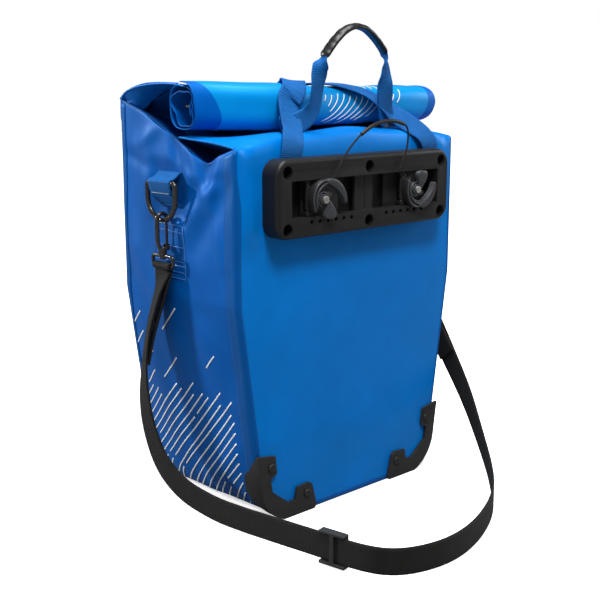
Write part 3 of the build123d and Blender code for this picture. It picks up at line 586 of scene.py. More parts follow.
def front_point(u, v):
    """u 0 to 1 from left to right, v 0 to 1 from the base up and over the top to the roll."""
    side = 2 * u - 1
    upright = v <= FRONT_FOLD_SHARE
    y, z = FRONT - 0.4 * MM, v / FRONT_FOLD_SHARE * FRONT_FOLD_Z
    if not upright:
        t = (v - FRONT_FOLD_SHARE) / (1 - FRONT_FOLD_SHARE)
        middle, end = (curve_through([mm(*p) for p in curve], t) for curve in (TOP_SHEET, END_SHEET))
        y, z = middle.lerp(end, smooth((abs(side) - 0.76) / 0.22))
        z -= RIGHT_DROP * smooth((z - 400 * MM) / (8 * MM)) * smooth((side - 0.5) / 0.4)
        z -= 3.0 * MM * math.sin(math.pi * t) * math.exp(-((abs(side) - 0.6) / 0.25) ** 2)
    x = side * half_width(min(z, SEAM_Z))
    if upright:
        y += front_swell(x, z) - rounded_edge(half_width(z) - abs(x))
    return Vector((x, y, z))


def front_skin():
    obj = grid_sheet("front_panel_skin", 100, 72, lambda u, v: front_point(column_share(u), v), BACK_BLUE,
                     (0, 1, 1))
    return finish_piece(obj, "bag", ["front_panel"])


def base_skin():
    """The bottom panel, sagging a little towards the floor between its seams."""
    def place(u, v):
        x = BOTTOM_LOW.x + (BOTTOM_HIGH.x - BOTTOM_LOW.x) * u
        y = -FRONT + 2 * FRONT * v
        sag = math.sin(math.pi * u) * math.sin(math.pi * v)
        dent = 0.8 * MM * (1 + noise.noise(Vector((x * 20, y * 20, 0)))) * sag
        return Vector((x * 1.01, y, 0.3 * MM + dent))
    obj = grid_sheet("base_skin", 24, 24, place, SIDE_BLUE, (0, 0, -1))
    return finish_piece(obj, "bag", ["bottom_panel"])


def seam_tapes():
    """Flat weld tapes down the side fabric beside each seam."""
    for side, name in SIDES:
        for end, width, label in ((-1, 14 * MM, "back"), (1, 8 * MM, "front")):
            def place(u, v, side=side, end=end, width=width):
                y = end * (FRONT - 1.0 * MM - width * u)
                point = gusset_point(side, 0.04 + 0.955 * v, y)
                lift = 0.7 * MM * math.sqrt(max(0.0, 1 - (2 * u - 1) ** 8))
                return point + Vector((side * (0.3 * MM + lift), 0, 0))
            tape = grid_sheet(f"{name}_{label}_seam_tape", 90, 8, place, TAPE_BLUE, (side, 0, 0),
                              0.5 * MM, subdivide=0)
            finish_piece(tape, "bag")


def on_back(x, height):
    """A point just off the back skin."""
    share = (x / half_width(height) + 1) / 2
    return back_point(share, height / BACK_FOLD_Z * BACK_FOLD_SHARE) + Vector((0, -0.45 * MM, 0))


def seam_lips():
    """The dark welded edge that shows on the back face, down both sides and along the base."""
    def side_lip(u, v, side):
        height = (9 + 336 * v) * MM
        wide = 4.0 * MM * (1 - 0.85 * smooth((v - 0.86) / 0.14))
        x = side * (half_width(height) - 0.4 * MM - wide * u)
        return on_back(x, height) + Vector((side * 0.2 * MM, 0, 0))

    for side, name in SIDES:
        lip = grid_sheet(f"{name}_seam_lip", 90, 4, lambda u, v, side=side: side_lip(u, v, side), TAPE_BLUE,
                         (side * 0.2, -1, 0), 0.4 * MM, subdivide=0)
        finish_piece(lip, "bag")

    def base_lip(u, v):
        height = (1.0 + 5.0 * v) * MM
        return on_back((2 * u - 1) * (half_width(height) - 4 * MM), height)

    lip = grid_sheet("base_seam_lip", 4, 60, base_lip, TAPE_BLUE, (0, -1, 0), 0.4 * MM, subdivide=0)
    finish_piece(lip, "bag")


# ---------------------------------------------------------------- folded ends of the mouth

# For the left end, in millimetres: the gusset's top edge, the valley of the fold, its inner rim round
# the roll, and the free edge of the top sheet. The right end mirrors them, set back by END_BACK.
FOLD_RIM = [(-149.6, 86, 397), (-150, 46, 384.6), (-150, 11, 368.6), (-150, -19, 353.6), (-149.6, -45, 341.4),
            (-149, -64, 350), (-148.6, -84, 357)]
FOLD_VALLEY = [(-148, 85, 396), (-118, 56, 379), (-98, 22, 362), (-96, -12, 349), (-102, -42, 337),
               (-122, -66, 347), (-147, -82, 355)]
FOLD_LIP = [(-148, 85.5, 397), (-134, 55, 396), (-128, 34, 405), (-126, 17, 398), (-132, 6, 365),
            (-146.6, -30, 360.8), (-148.4, -83, 356.6)]
FLAP_FOOT = [(-149.5, 86, 397.4), (-142, 64, 386), (-133, 53, 396), (-130, 38, 404), (-128, 20, 409)]
FLAP_EDGE = [(-149.6, 86.5, 397.6), (-149.6, 76, 404.6), (-149.6, 52, 410.6), (-149.2, 26, 412.2),
             (-148, -4, 411.6)]
END_BACK = 18.0


def placed(points, side):
    """Left-end points as they are, or mirrored and set back for the right end."""
    out = []
    for x, y, z in points:
        back = END_BACK * smooth((70 - y) / 60) * smooth((y + 70) / 50) if side > 0 else 0.0
        drop = RIGHT_DROP / MM * smooth((z - 400) / 8) if side > 0 else 0.0
        out.append(mm(-side * x, y - back, z - drop))
    return out


def fold_sheet(name, curves, side, material, sag):
    """A sheet through several curves one after another, with soft creases across it."""
    lines = [placed(points, side) for points in curves]

    def place(u, v):
        here = [curve_through(line, u) for line in lines]
        point = curve_through(here, v) if len(here) > 2 else here[0].lerp(here[1], v)
        sway = sag * MM * math.sin(math.pi * v) * noise.noise(Vector((u * 5 + side, v * 2, 3.0)))
        return point + Vector((sway * side, sway * 0.5, sway))
    return grid_sheet(name, 24, 60, place, material, (side, 0, 0))


def folded_end(side, name):
    # The pocket is drawn in the darker copy of the side fabric, as painted shade.
    pocket = fold_sheet("pocket", [FOLD_RIM, FOLD_VALLEY, FOLD_LIP], side, POCKET_SHADE_BLUE, 2.0)
    flap = fold_sheet("flap", [FLAP_FOOT, FLAP_EDGE], side, SIDE_BLUE, 2.6)
    obj = merge(f"{name}_fold_skin", [pocket, flap])
    return finish_piece(obj, "bag")


# ---------------------------------------------------------------- rolled mouth

ROLL_DEEP = 25.0 * MM
ROLL_TALL = 20.5 * MM
ROLL_TURNS = 2.35
LAYER = 0.17
SHIFT_FROM = -55 * MM
SHIFT = 30.0 * MM


def roll_centre(x):
    """The roll leans away from the wheel towards its left end."""
    away = max(0.0, (SHIFT_FROM - x) / (HALF + SHIFT_FROM))
    lift = 0.6 * MM + 2.2 * MM * smooth(away)
    return ROLL_Y + SHIFT * smooth(away * 0.92) + 1.0 * MM * math.sin(x * 40), ROLL_TOP - ROLL_TALL + lift


def roll_ends(turn):
    """Where the roll's edge lies at each side, by how far round it is from the top."""
    angle = 2 * math.pi * turn
    left = -HALF - 1.5 * MM + 2.0 * MM * math.sin(angle * 0.5) ** 2 + 2.5 * MM * min(1.0, turn)
    rear = math.sin(angle)
    low = 0.5 - 0.5 * math.cos(angle)
    right = HALF - 9.5 * MM + 10.0 * MM * max(0.0, rear) - 12.0 * MM * max(0.0, low - 0.45)
    return left, right


def band_widths(turn):
    """Width of the side-coloured band at each end of the roll."""
    angle = 2 * math.pi * turn
    low = 0.5 - 0.5 * math.cos(angle)
    left = 6 + 15 * low + 9 * max(0.0, math.sin(angle))
    right = 5 + 9 * math.sin(min(math.pi, angle / 1.4))
    return left * MM, right * MM


def roll_point(turn, x):
    centre_y, centre_z = roll_centre(x)
    angle = math.pi / 2 + 2 * math.pi * turn
    size = 1 - LAYER * turn
    if turn > 1:
        crushed = smooth((turn - 1) / 0.4)
        size *= 1 + crushed * (0.16 * math.sin(3 * angle + 0.6) + 0.09 * math.sin(5 * angle + 0.8))
    near_left = smooth((-x - HALF + 46 * MM) / (46 * MM))
    swollen = 4.0 * MM * smooth((-x - 10 * MM) / (60 * MM))
    deep = ROLL_DEEP * (1 - 0.1 * near_left) * size
    tall = (ROLL_TALL + swollen) * size
    dent = 0.9 * MM * noise.noise(Vector((x * 22, math.cos(angle) * 1.2, math.sin(angle) * 1.2)))
    square = 1 - 0.05 * math.cos(4 * angle)
    return Vector((x, centre_y + (deep * square + dent) * math.cos(angle),
                   centre_z + (tall * square + dent) * math.sin(angle)))


def roll_skin():
    rows, inner_cols, band_cols = 150, 56, 6
    points, uvs = [], []
    for i in range(rows + 1):
        turn = ROLL_TURNS * i / rows
        left, right = roll_ends(turn)
        left_band, right_band = band_widths(min(1.0, turn))
        stops = [left + left_band * j / band_cols for j in range(band_cols)]
        start, end = left + left_band, right - right_band
        stops += [start + (end - start) * j / inner_cols for j in range(inner_cols)]
        stops += [end + right_band * j / band_cols for j in range(band_cols + 1)]
        for x in stops:
            points.append(roll_point(turn, x))
            uvs.append((x, turn))
    cols = inner_cols + 2 * band_cols
    faces = [(a, d, c, b) for a, b, c, d in quads(rows, cols + 1, False)]
    obj = mesh_object("roll_skin", points, faces, uvs, SIDE_BLUE)
    obj.data.materials.append(ROLL_LIT_BLUE)
    outer_rows = rows / ROLL_TURNS * 1.05
    # The middle of the outer turn takes the lighter copy, as painted light; the end bands and inner turns
    # keep the side fabric.
    for n, polygon in enumerate(obj.data.polygons):
        i, j = divmod(n, cols)
        polygon.material_index = int(band_cols <= j < band_cols + inner_cols and i < outer_rows)
    layered(obj, FABRIC, subdivide=1)
    finish_piece(obj, "bag", ["roll_top"])
    hem_strip()


def hem_strip():
    """The stiffener in the roll's hem, along the roll's own middle line."""
    low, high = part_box("roll_stiffener")
    along = [low.x + (high.x - low.x) * k / 8 for k in range(9)]
    stations = [(Vector((x, *roll_centre(x))), (0, 0, 1)) for x in along]
    strip = ribbon("hem_stiffener", stations, (high.y - low.y) * 0.8, high.z - low.z, BOARD, 4)
    finish_piece(strip, "bag", ["roll_stiffener"])


# ---------------------------------------------------------------- printed strokes

STROKE_W = 1.5 * MM
STROKE_LIFT = 0.25 * MM


def strip_on(point_of, start, end, width, steps=14):
    """A narrow strip from start to end in a surface's own two coordinates, laid on that surface."""
    points = []
    a, b = Vector(start), Vector(end)
    centre = [point_of(*(a.lerp(b, k / steps))) for k in range(steps + 1)]
    line = [middle for middle, _ in centre]
    for k, (middle, normal) in enumerate(centre):
        across = way_at(line, k).cross(normal).normalized() * width / 2
        points += [middle + across * shift + normal * STROKE_LIFT for shift in (-1, 1)]
    return points, [(a, d, c, b) for a, b, c, d in quads(steps, 2, False)]


def strokes_object(name, strips, material):
    points, faces = [], []
    for strip_points, strip_faces in strips:
        base = len(points)
        points += strip_points
        faces += [tuple(base + i for i in face) for face in strip_faces]
    return layered(mesh_object(name, points, faces, None, material), 0.25 * MM, 0)


def side_surface(side):
    """The swollen side fabric, as a function of depth y and arc length s round the bag's outline."""
    def on_side(y, s):
        x, z, out_x, out_z = outline_at(s)
        swell = gusset_swell(side, y, z)
        return Vector((side * (x + out_x * swell), y, z + out_z * swell))
    return on_side


def surface_normal(point_of, a, b, outward, step=0.6 * MM):
    """The outward normal of a surface given by two coordinates."""
    along = point_of(a + step, b) - point_of(a - step, b)
    across = point_of(a, b + step) - point_of(a, b - step)
    normal = along.cross(across).normalized()
    return normal if normal.dot(outward) > 0 else -normal


# Strokes standing alone above the crowded ones: depth and height of the lower end, height of the upper.
SINGLES = ((37, 126, 151), (29, 177, 202), (-34, 150, 164), (69, 113, 131), (78, 154, 170), (80, 174, 190),
           (62, 139, 152))


def gusset_strokes(side, name):
    """Slanting reflective strokes: crowded at the foot of the side, thinning out upwards."""
    draw = random.Random(SEED + side)
    on_side = side_surface(side)

    def place(y, s):
        out_x, out_z = outline_at(s)[2:]
        return on_side(y, s), surface_normal(on_side, y, s, Vector((side * out_x, 0, out_z)))

    def rising(lane, low_z, high_z):
        """The stroke whose depth and height add up to lane, between two heights, kept on the side."""
        low_z, high_z = max(low_z, lane - FRONT + 5 * MM), min(high_z, lane + FRONT - 24 * MM)
        if high_z - low_z > 6 * MM:
            ends = [(lane - z, reach_of(z)) for z in (low_z, high_z)]
            strips.append(strip_on(place, *ends, STROKE_W, 24))

    strips = []
    for k in range(23):
        lane = (-56 + 10.4 * k) * MM
        foot = (7 + 4 * draw.random()) * MM
        top = (110 + draw.uniform(-12, 9) - 14 * math.cos(0.21 * k)) * MM
        breaks = [draw.uniform(24, 60) * MM] if draw.random() < 0.5 else []
        if draw.random() < 0.3:
            breaks.append(draw.uniform(66, 92) * MM)
        for stop in breaks:
            rising(lane, foot, stop)
            foot = stop + 5 * MM
        rising(lane, foot, top)
    for y, low_z, high_z in SINGLES:
        rising((y + low_z) * MM, low_z * MM, high_z * MM)
    obj = strokes_object(f"{name}_side_print", strips, PRINT)
    return finish_piece(obj, "bag")


def roll_strokes():
    """Reflective strokes round the right part of the roll, each at one X, from the top towards the wheel."""
    draw = random.Random(SEED + 5)

    def place(x, turn):
        x -= 24 * MM * ((turn - 0.12) / 0.22) ** 2
        step = 0.004
        along = roll_point(turn, x + MM) - roll_point(turn, x - MM)
        round_it = roll_point(turn + step, x) - roll_point(turn - step, x)
        normal = along.cross(round_it).normalized()
        middle = Vector((x, *roll_centre(x)))
        if normal.dot(roll_point(turn, x) - middle) < 0:
            normal = -normal
        return roll_point(turn, x), normal

    strips = []
    spacing = 9.0 * MM
    for k in range(14):
        x = -14 * MM + k * spacing
        start = 0.145 + draw.uniform(0, 0.02)
        length = min(0.05 + 0.06 * k, 0.25) * draw.uniform(0.75, 1.0)
        if k in (10, 13):
            continue
        if k > 10:
            start, length = 0.12 + 0.04 * (k == 11), 0.05 + 0.06 * (k == 12)
        strips.append(strip_on(place, (x, start), (x, start + length), 1.1 * MM))
        if 3 < k < 10:
            strips.append(strip_on(place, (x, 0.03), (x, 0.07 + draw.uniform(0.02, 0.04)), 1.1 * MM))
    obj = strokes_object("roll_print", strips, PRINT)
    return finish_piece(obj, "bag")


def weld_marks(side, name):
    """Faint lines of a welded patch under the ring tab."""
    on_side = side_surface(side)

    def place(y, s):
        return on_side(y, s), Vector((side, 0, 0))

    strips = []
    for z in (282, 276, 262, 248, 244, 238, 232):
        s = reach_of(z * MM)
        strips.append(strip_on(place, (-14 * MM, s), (30 * MM, s), 0.7 * MM, 16))
    for y in (-16, 32):
        ends = [(y * MM, reach_of(z * MM)) for z in (228, 290)]
        strips.append(strip_on(place, *ends, 0.7 * MM, 16))
    obj = strokes_object(f"{name}_tab_weld", strips, DULL_PRINT)
    return finish_piece(obj, "bag")


# ---------------------------------------------------------------- webbing

WEB_W = 25.0 * MM
STRAP_T = 1.5 * MM


def ribbon(name, stations, width, thickness, material, steps=12):
    """Flat webbing through stations of (point, direction its face looks), with rounded selvedges.

    A station may give a third value, its own width. UVs are in metres, across and along."""
    centre, looks, wide = [], [], []
    points = [s[0] for s in stations]
    normals = [Vector(s[1]).normalized() for s in stations]
    widths = [s[2] if len(s) > 2 else width for s in stations]
    total = (len(stations) - 1) * steps
    for k in range(total + 1):
        t = k / total
        centre.append(curve_through(points, t))
        looks.append(curve_through(normals, t))
        i = min(int(t * (len(widths) - 1)), len(widths) - 2)
        f = t * (len(widths) - 1) - i
        wide.append(widths[i] + (widths[i + 1] - widths[i]) * smooth(f))
    edge = thickness / 2
    profile = [(-0.5, 0.35)] + [(-0.5 + k / 8, 1.0) for k in range(9)] + [(0.5, 0.35)]
    ring = profile + [(u, -h) for u, h in reversed(profile)]
    verts, uvs = [], []
    run = 0.0
    for k, middle in enumerate(centre):
        ahead = way_at(centre, k)
        if k:
            run += (middle - centre[k - 1]).length
        across = ahead.cross(looks[k]).normalized()
        out = across.cross(ahead).normalized()
        for u, h in ring:
            inset = 0.4 * MM if abs(h) > 0.5 and abs(abs(u) - 0.5) < 1e-6 else 0.0
            shift = u * wide[k] - math.copysign(inset, u)
            verts.append(middle + across * shift + out * edge * h)
            uvs.append((u * wide[k] + 0.5 * width, run))
    return mesh_object(name, verts, capped(total, len(ring)), uvs, material)


def stitches(name, start, end, normal, count, material, length=2.2 * MM, radius=0.32 * MM):
    """A row of raised stitches from start to end on a face looking along normal."""
    points, faces = [], []
    step = (end - start) / count
    along = step.normalized()
    up = Vector(normal).normalized()
    across = along.cross(up)
    for k in range(count):
        middle = start + step * (k + 0.5)
        base = len(points)
        for j in range(5):
            t = j / 4 - 0.5
            rise = radius * (1.2 - 5.0 * t * t)
            for turn in range(6):
                angle = math.pi * turn / 3
                points.append(middle + along * t * length + across * radius * math.cos(angle)
                              + up * (rise + radius * math.sin(angle)))
        faces += [tuple(base + i for i in face) for face in quads(4, 6)]
    return mesh_object(name, points, faces, None, material)


def evenly(points, count):
    """The same line in count equal steps."""
    lengths = [0.0]
    for a, b in zip(points, points[1:]):
        lengths.append(lengths[-1] + (b - a).length)
    out = []
    for k in range(count + 1):
        goal = lengths[-1] * k / count
        i = max(1, next(j for j, reach in enumerate(lengths) if reach >= goal - 1e-9))
        share = (goal - lengths[i - 1]) / max(1e-9, lengths[i] - lengths[i - 1])
        out.append(points[i - 1].lerp(points[i], share))
    return out


def roll_arc(x_at, degrees, clearance, count):
    """Stations over the roll: x_at gives X by share of the way; degrees from the top towards the wheel."""
    stations = []
    for k in range(count):
        t = k / (count - 1)
        x = x_at[0] + (x_at[1] - x_at[0]) * t
        degree = degrees[0] + (degrees[1] - degrees[0]) * t
        out = Vector((0, -math.sin(math.radians(degree)), math.cos(math.radians(degree))))
        stations.append((roll_point(degree / 360, x) + out * clearance, out))
    return stations


def closure_straps():
    """Webbing from under the plate, over the roll and down the front to the buckle."""
    plate_top = PLATE_HIGH.z
    left = [
        (Vector((-88 * MM, BACK - 1.6 * MM, plate_top - 6 * MM)), (0, -1, 0)),
        (Vector((-86.5 * MM, BACK - 3.6 * MM, plate_top + 6 * MM)), (0, -1, 0.15)),
        (Vector((-82 * MM, BACK - 0.5 * MM, plate_top + 17 * MM)), (0, -0.9, 0.4)),
        (Vector((-74 * MM, BACK + 9 * MM, plate_top + 26.0 * MM)), (0, -0.9, 0.4)),
    ]
    left += roll_arc((-67 * MM, -40 * MM), (76, 0), 3.0 * MM, 6)
    left += [(mm(-28, -18, 409.8), (0, 0.1, 1)), (mm(-21, 12, 407.6), (0, 0.1, 1)),
             (mm(-16, 48, 404.9), (0, 0.1, 1)), (mm(-13.5, 74, 402.6), (0, 0.3, 1)),
             (mm(-13, 87.5, 394), (0, 0.9, 0.4)), (mm(-13, 88.6, 378), (0, 1, 0)),
             (mm(-13, 88.4, 352), (0, 1, 0))]
    right = [
        (Vector((109 * MM, BACK - 1.6 * MM, plate_top - 6 * MM)), (0, -1, 0)),
        (Vector((107 * MM, BACK - 3.4 * MM, plate_top + 5 * MM)), (0, -1, 0.15)),
        (Vector((98 * MM, BACK + 0.5 * MM, plate_top + 17 * MM)), (0, -0.9, 0.5)),
        (Vector((84 * MM, BACK + 9.5 * MM, plate_top + 27.5 * MM)), (-0.1, -0.9, 0.5)),
        (mm(70, -71, 382), (-0.1, -0.8, 0.6)),
        (mm(56, -68, 392), (-0.05, -0.6, 0.8)),
        (mm(40, -61, 402), (0, -0.4, 0.9)),
        (mm(20, -50, 408.6), (0, -0.2, 1)),
    ]
    right += [(mm(4, -34, 411.2), (0, 0, 1)), (mm(6, 0, 409.4), (0, 0.1, 1)),
              (mm(10, 48, 406.2), (0, 0.1, 1)), (mm(12, 74, 404.2), (0, 0.3, 1)),
              (mm(13, 89.2, 394.5), (0, 0.9, 0.4)), (mm(13, 90.2, 378), (0, 1, 0)),
              (mm(13, 90.2, 352), (0, 1, 0))]
    for name, stations in (("left", left), ("right", right)):
        obj = ribbon(f"{name}_closure_webbing", stations, WEB_W, STRAP_T, BLUE_WEB, 8)
        finish_piece(obj, "bag", [f"{name}_closure_strap"])


def front_straps():
    """The buckle's own webbing, above and below it, with sewn ends."""
    for node in ("buckle_strap", "anchor_strap"):
        low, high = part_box(node)
        middle_y = (low.y + high.y) / 2
        count = 7
        stations = []
        for k in range(count):
            t = k / (count - 1)
            lean = 0.5 * MM * math.sin(math.pi * t)
            stations.append((Vector((0, middle_y + lean, low.z + (high.z - low.z) * t)), (0, 1, 0)))
        obj = ribbon(f"{node}_webbing", stations, high.x - low.x, high.y - low.y, BLUE_WEB, 5)
        finish_piece(obj, "bag", [node])
        foot = low.z + 5 * MM if node == "anchor_strap" else high.z - 6 * MM
        rows = []
        for row in (0, 14 * MM):
            z = foot + row if node == "anchor_strap" else foot - row
            y = high.y + 0.2 * MM + (0.15 * MM if row else 0)
            start, end = (Vector((x, y, z)) for x in (low.x + 3 * MM, high.x - 3 * MM))
            rows.append(stitches("row", start, end, (0, 1, 0), 7, THREAD))
        for x in (low.x + 3 * MM, high.x - 3 * MM):
            a, b = foot, foot + (14 * MM if node == "anchor_strap" else -14 * MM)
            rows.append(stitches("side", Vector((x, high.y + 0.3 * MM, min(a, b))),
                                 Vector((x, high.y + 0.3 * MM, max(a, b))), (0, 1, 0), 5, THREAD))
        finish_piece(merge(f"{node}_stitching", rows), "bag")


# ---------------------------------------------------------------- carry handle

HANDLE_LOW, HANDLE_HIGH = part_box("handle_webbing")
GRIP_LOW, GRIP_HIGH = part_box("handle_grip")
HANDLE_FOOT = Vector((0, HANDLE_HIGH.y - 1.2 * MM, HANDLE_LOW.z))
GRIP_Y = (GRIP_LOW.y + GRIP_HIGH.y) / 2


def handle_point(x, rise):
    """A point in the handle's leaning plane, rise above its sewn feet."""
    lean = (GRIP_Y - HANDLE_FOOT.y) / (GRIP_HIGH.z - 12 * MM - HANDLE_FOOT.z)
    return Vector((x, HANDLE_FOOT.y + rise * lean, HANDLE_FOOT.z + rise))


# The middle line of the folded webbing inside the grip.
GRIP_PATH = [(-38.5, -82.2, 435), (-33, -83.4, 442.5), (-26, -84.8, 450.5), (-16, -86.2, 458.5),
             (-3, -87, 462.8), (11, -87, 461.2), (24, -86, 454.5), (36, -84.4, 446), (43, -83.2, 439.5)]


def handle_pieces():
    rise = GRIP_HIGH.z - HANDLE_FOOT.z
    thin = WEB_W * 0.34
    legs = [
        (mm(-82, -70.2, 372), (0, -1, 0.1), WEB_W * 0.8),
        (mm(-70, -71.2, 374), (0, -1, 0.1), WEB_W * 0.8),
        (mm(-58, -72.4, 377.5), (0.05, -1, 0.15), WEB_W * 0.78),
        (mm(-48.5, -74.0, 384), (0.1, -1, 0.2), WEB_W * 0.74),
        (mm(-44, -75.8, 394), (0.15, -1, 0.1), WEB_W * 0.72),
        (mm(-42.5, -77.5, 406), (0.2, -1, 0), WEB_W * 0.74),
        (mm(-42.5, -79.5, 417), (0.0, -1, 0), WEB_W * 0.76),
        (mm(-42.5, -81.3, 426), (-0.4, -0.9, 0), WEB_W * 0.64),
    ]
    legs += [(mm(x, y, z), (x / 55, 0.1, (z - 418) / 42), thin) for x, y, z in GRIP_PATH]
    legs += [
        (mm(47, -81.5, 430), (0.45, -0.9, 0.05), WEB_W * 0.6),
        (mm(49.5, -80.0, 420), (0.2, -0.95, 0), WEB_W * 0.7),
        (mm(51, -78.2, 409), (-0.15, -0.95, -0.1), WEB_W * 0.76),
        (mm(54, -75.6, 396), (0, -0.95, -0.2), WEB_W * 0.84),
        (mm(58, -73, 384), (0.1, -0.95, -0.2), WEB_W * 0.86),
        (mm(64, -71, 374), (0.1, -0.95, -0.2), WEB_W * 0.86),
    ]
    web = ribbon("handle_web", legs, WEB_W, 1.9 * MM, BLUE_WEB, 8)
    finish_piece(web, "carry_handle", ["handle_webbing"])
    rows = []
    for drop in (0.0, 13.0):
        start, end = mm(-79, -71.6, 366.5 + drop), mm(-56, -72.2, 369.0 + drop)
        rows.append(stitches("row", start, end, (0, -1, 0.1), 9, THREAD))
    rows.append(stitches("row", mm(-79, -71.6, 367.5), mm(-79, -71.4, 378.5), (0, -1, 0.1), 5, THREAD))
    finish_piece(merge("handle_stitching", rows), "carry_handle")
    handle_grip(rise)


def handle_grip(rise):
    """A half-round rubber sleeve over the folded webbing, with finger grooves and a flat underside."""
    count, around = 72, 16
    points = []
    path = [mm(x, y, z + 0.8) for x, y, z in GRIP_PATH]
    side_way = (handle_point(0, 0) - handle_point(0, 10 * MM)).cross(Vector((1, 0, 0))).normalized()
    for k in range(count + 1):
        t = k / count
        middle = curve_through(path, t)
        ahead = (curve_through(path, min(1, t + 0.01)) - curve_through(path, max(0, t - 0.01))).normalized()
        out = ahead.cross(side_way).normalized()
        if out.z < 0 and abs(middle.x) < 20 * MM:
            out = -out
        if (middle - handle_point(0, rise - 50 * MM)).dot(out) < 0:
            out = -out
        groove = 0.25 * MM * (math.cos(t * count * 0.9) > 0.55)
        taper = 1 - 0.25 * smooth((abs(2 * t - 1) - 0.9) / 0.1)
        for j in range(around):
            angle = 2 * math.pi * j / around
            wide = 6.0 * MM * math.cos(angle) * taper
            high = (3.4 * MM if math.sin(angle) > 0 else 2.0 * MM) * math.sin(angle) * taper
            scale = 1 - (groove / (4 * MM) if math.sin(angle) > 0.1 else 0)
            points.append(middle + side_way * wide * scale + out * high * scale)
    grip = mesh_object("handle_grip_sleeve", points, capped(count, around), None, RUBBER)
    finish_piece(grip, "carry_handle", ["handle_grip"])


# ---------------------------------------------------------------- hard parts with rounded edges

def rounded(node, width, material, body, angle=30):
    """A CAD part with its sharp edges rounded a little, standing for the node."""
    mesh = bmesh.new()
    mesh.from_mesh(NODES[node].data)
    bmesh.ops.remove_doubles(mesh, verts=mesh.verts, dist=0.01 * MM)
    bmesh.ops.dissolve_limit(mesh, angle_limit=math.radians(1.5), verts=mesh.verts, edges=mesh.edges)
    sharp = [e for e in mesh.edges if len(e.link_faces) == 2 and e.calc_face_angle(0) > math.radians(angle)]
    bmesh.ops.bevel(mesh, geom=sharp, offset=width, segments=2, profile=0.7, affect="EDGES",
                    clamp_overlap=True)
    bmesh.ops.triangulate(mesh, faces=[f for f in mesh.faces if len(f.verts) > 4])
    made = bpy.data.meshes.new(f"{node}_shape")
    mesh.to_mesh(made)
    mesh.free()
    made.materials.append(material)
    for polygon in made.polygons:
        polygon.use_smooth = True
    made.set_sharp_from_angle(angle=math.radians(40))
    return finish_piece(linked(made.name, made), body, [node])


def paint(node, material):
    """A CAD part that stays as it is, with its own material."""
    data = NODES[node].data
    data.materials.clear()
    data.materials.append(material)


def tube(name, points, radius, material, steps=10, around=12):
    """A round cord or bar through points."""
    verts = []
    total = (len(points) - 1) * steps
    centre = [curve_through(points, k / total) for k in range(total + 1)]
    side = Vector((0, 1, 0))
    for k, middle in enumerate(centre):
        ahead = way_at(centre, k)
        side = (side - ahead * side.dot(ahead)).normalized()
        up = ahead.cross(side)
        for j in range(around):
            angle = 2 * math.pi * j / around
            verts.append(middle + side * radius * math.cos(angle) + up * radius * math.sin(angle))
    return mesh_object(name, verts, capped(total, around), None, material)


# ---------------------------------------------------------------- shoulder strap

EYE_LOW, EYE_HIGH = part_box("left_swivel_eye")
RING_X = -(EYE_LOW.x + EYE_HIGH.x) / 2
RING_Y = (EYE_LOW.y + EYE_HIGH.y) / 2
EYE_Z = EYE_LOW.z + 1.6 * MM


def facing(degrees):
    return (math.cos(math.radians(degrees)), math.sin(math.radians(degrees)), 0.0)


def strap_route():
    """Points in millimetres along the strap and the way its outer face looks, from left ring to right."""
    x, y, z = RING_X / MM, RING_Y / MM, EYE_Z / MM
    return [
        (-x, y, z - 2.4, 176), (-165, 13, 218, 150), (-166.5, 26, 182, 147), (-167, 34, 144, 152),
        (-166.5, 36, 107, 166), (-165, 30, 75, 174), (-163, 14, 46, 179), (-160, -14, 27, 184),
        (-155, -52, 18, 186), (-151, -88, 16.5, 188), (-147, -118, 16.5, 189), (-139, -170, 16.5, 190),
        (-131, -222, 16.5, 191), (-112, -246, 14.5, 232), (-78, -258, 13.5, 262), (-38, -258, 13.5, 276),
        (10, -244, 13.5, 288), (58, -220, 15, 298), (98, -188, 22, 310), (130, -150, 44, 322),
        (154, -112, 76, 338), (167, -78, 110, 350), (171, -48, 150, 358), (169, -20, 195, 360),
        (x, y, z - 2.4, 360),
    ]


def shoulder_strap():
    stations = [(mm(x, y, z), facing(turn)) for x, y, z, turn in strap_route()]
    web = ribbon("strap_webbing", stations, WEB_W, 2.0 * MM, BLACK_WEB, 10)
    parts = [web]
    for side in (-1, 1):
        parts += strap_end(side)
    obj = merge("shoulder_strap_webbing", parts)
    finish_piece(obj, "strap", ["shoulder_strap"])


# Radius of webbing turned round a bar or an eye.
WEB_TURN = 2.9 * MM


def strap_end(side):
    """The webbing turned round the swivel eye, with its doubled end sewn down."""
    x = side * RING_X
    loop = []
    for k in range(9):
        angle = math.radians(-60 + 300 * k / 8)
        out = Vector((side * math.cos(angle), 0, math.sin(angle)))
        loop.append((Vector((x, RING_Y, EYE_Z)) + out * WEB_TURN, out))
    route = strap_route()
    near = route[:4] if side < 0 else route[::-1][:4]
    line = [mm(*p[:3]) for p in near]
    looks = [Vector(facing(p[3])) for p in near]
    tail = []
    for t, gap in ((0.0, 2.2), (0.12, 3.6), (0.3, 5.6), (0.5, 6.0), (0.7, 5.0), (0.86, 3.2), (0.95, 2.1)):
        look = curve_through(looks, t).normalized()
        tail.append((curve_through(line, t) - look * gap * MM, look))
    doubled = ribbon("doubled", tail, WEB_W, 1.8 * MM, BLACK_WEB, 8)
    sleeve = ribbon("sleeve", loop[::-1], WEB_W, 1.6 * MM, BLACK_WEB, 4)
    rows = []
    for t in (0.87, 0.93):
        look = curve_through(looks, t).normalized()
        middle = curve_through(line, t) + look * 1.15 * MM
        half = look.cross(Vector((0, 0, 1))).normalized() * 9 * MM
        rows.append(stitches("row", middle - half, middle + half, look, 8, BLACK_WEB))
    return [doubled, sleeve] + rows


# ---------------------------------------------------------------- ring tabs

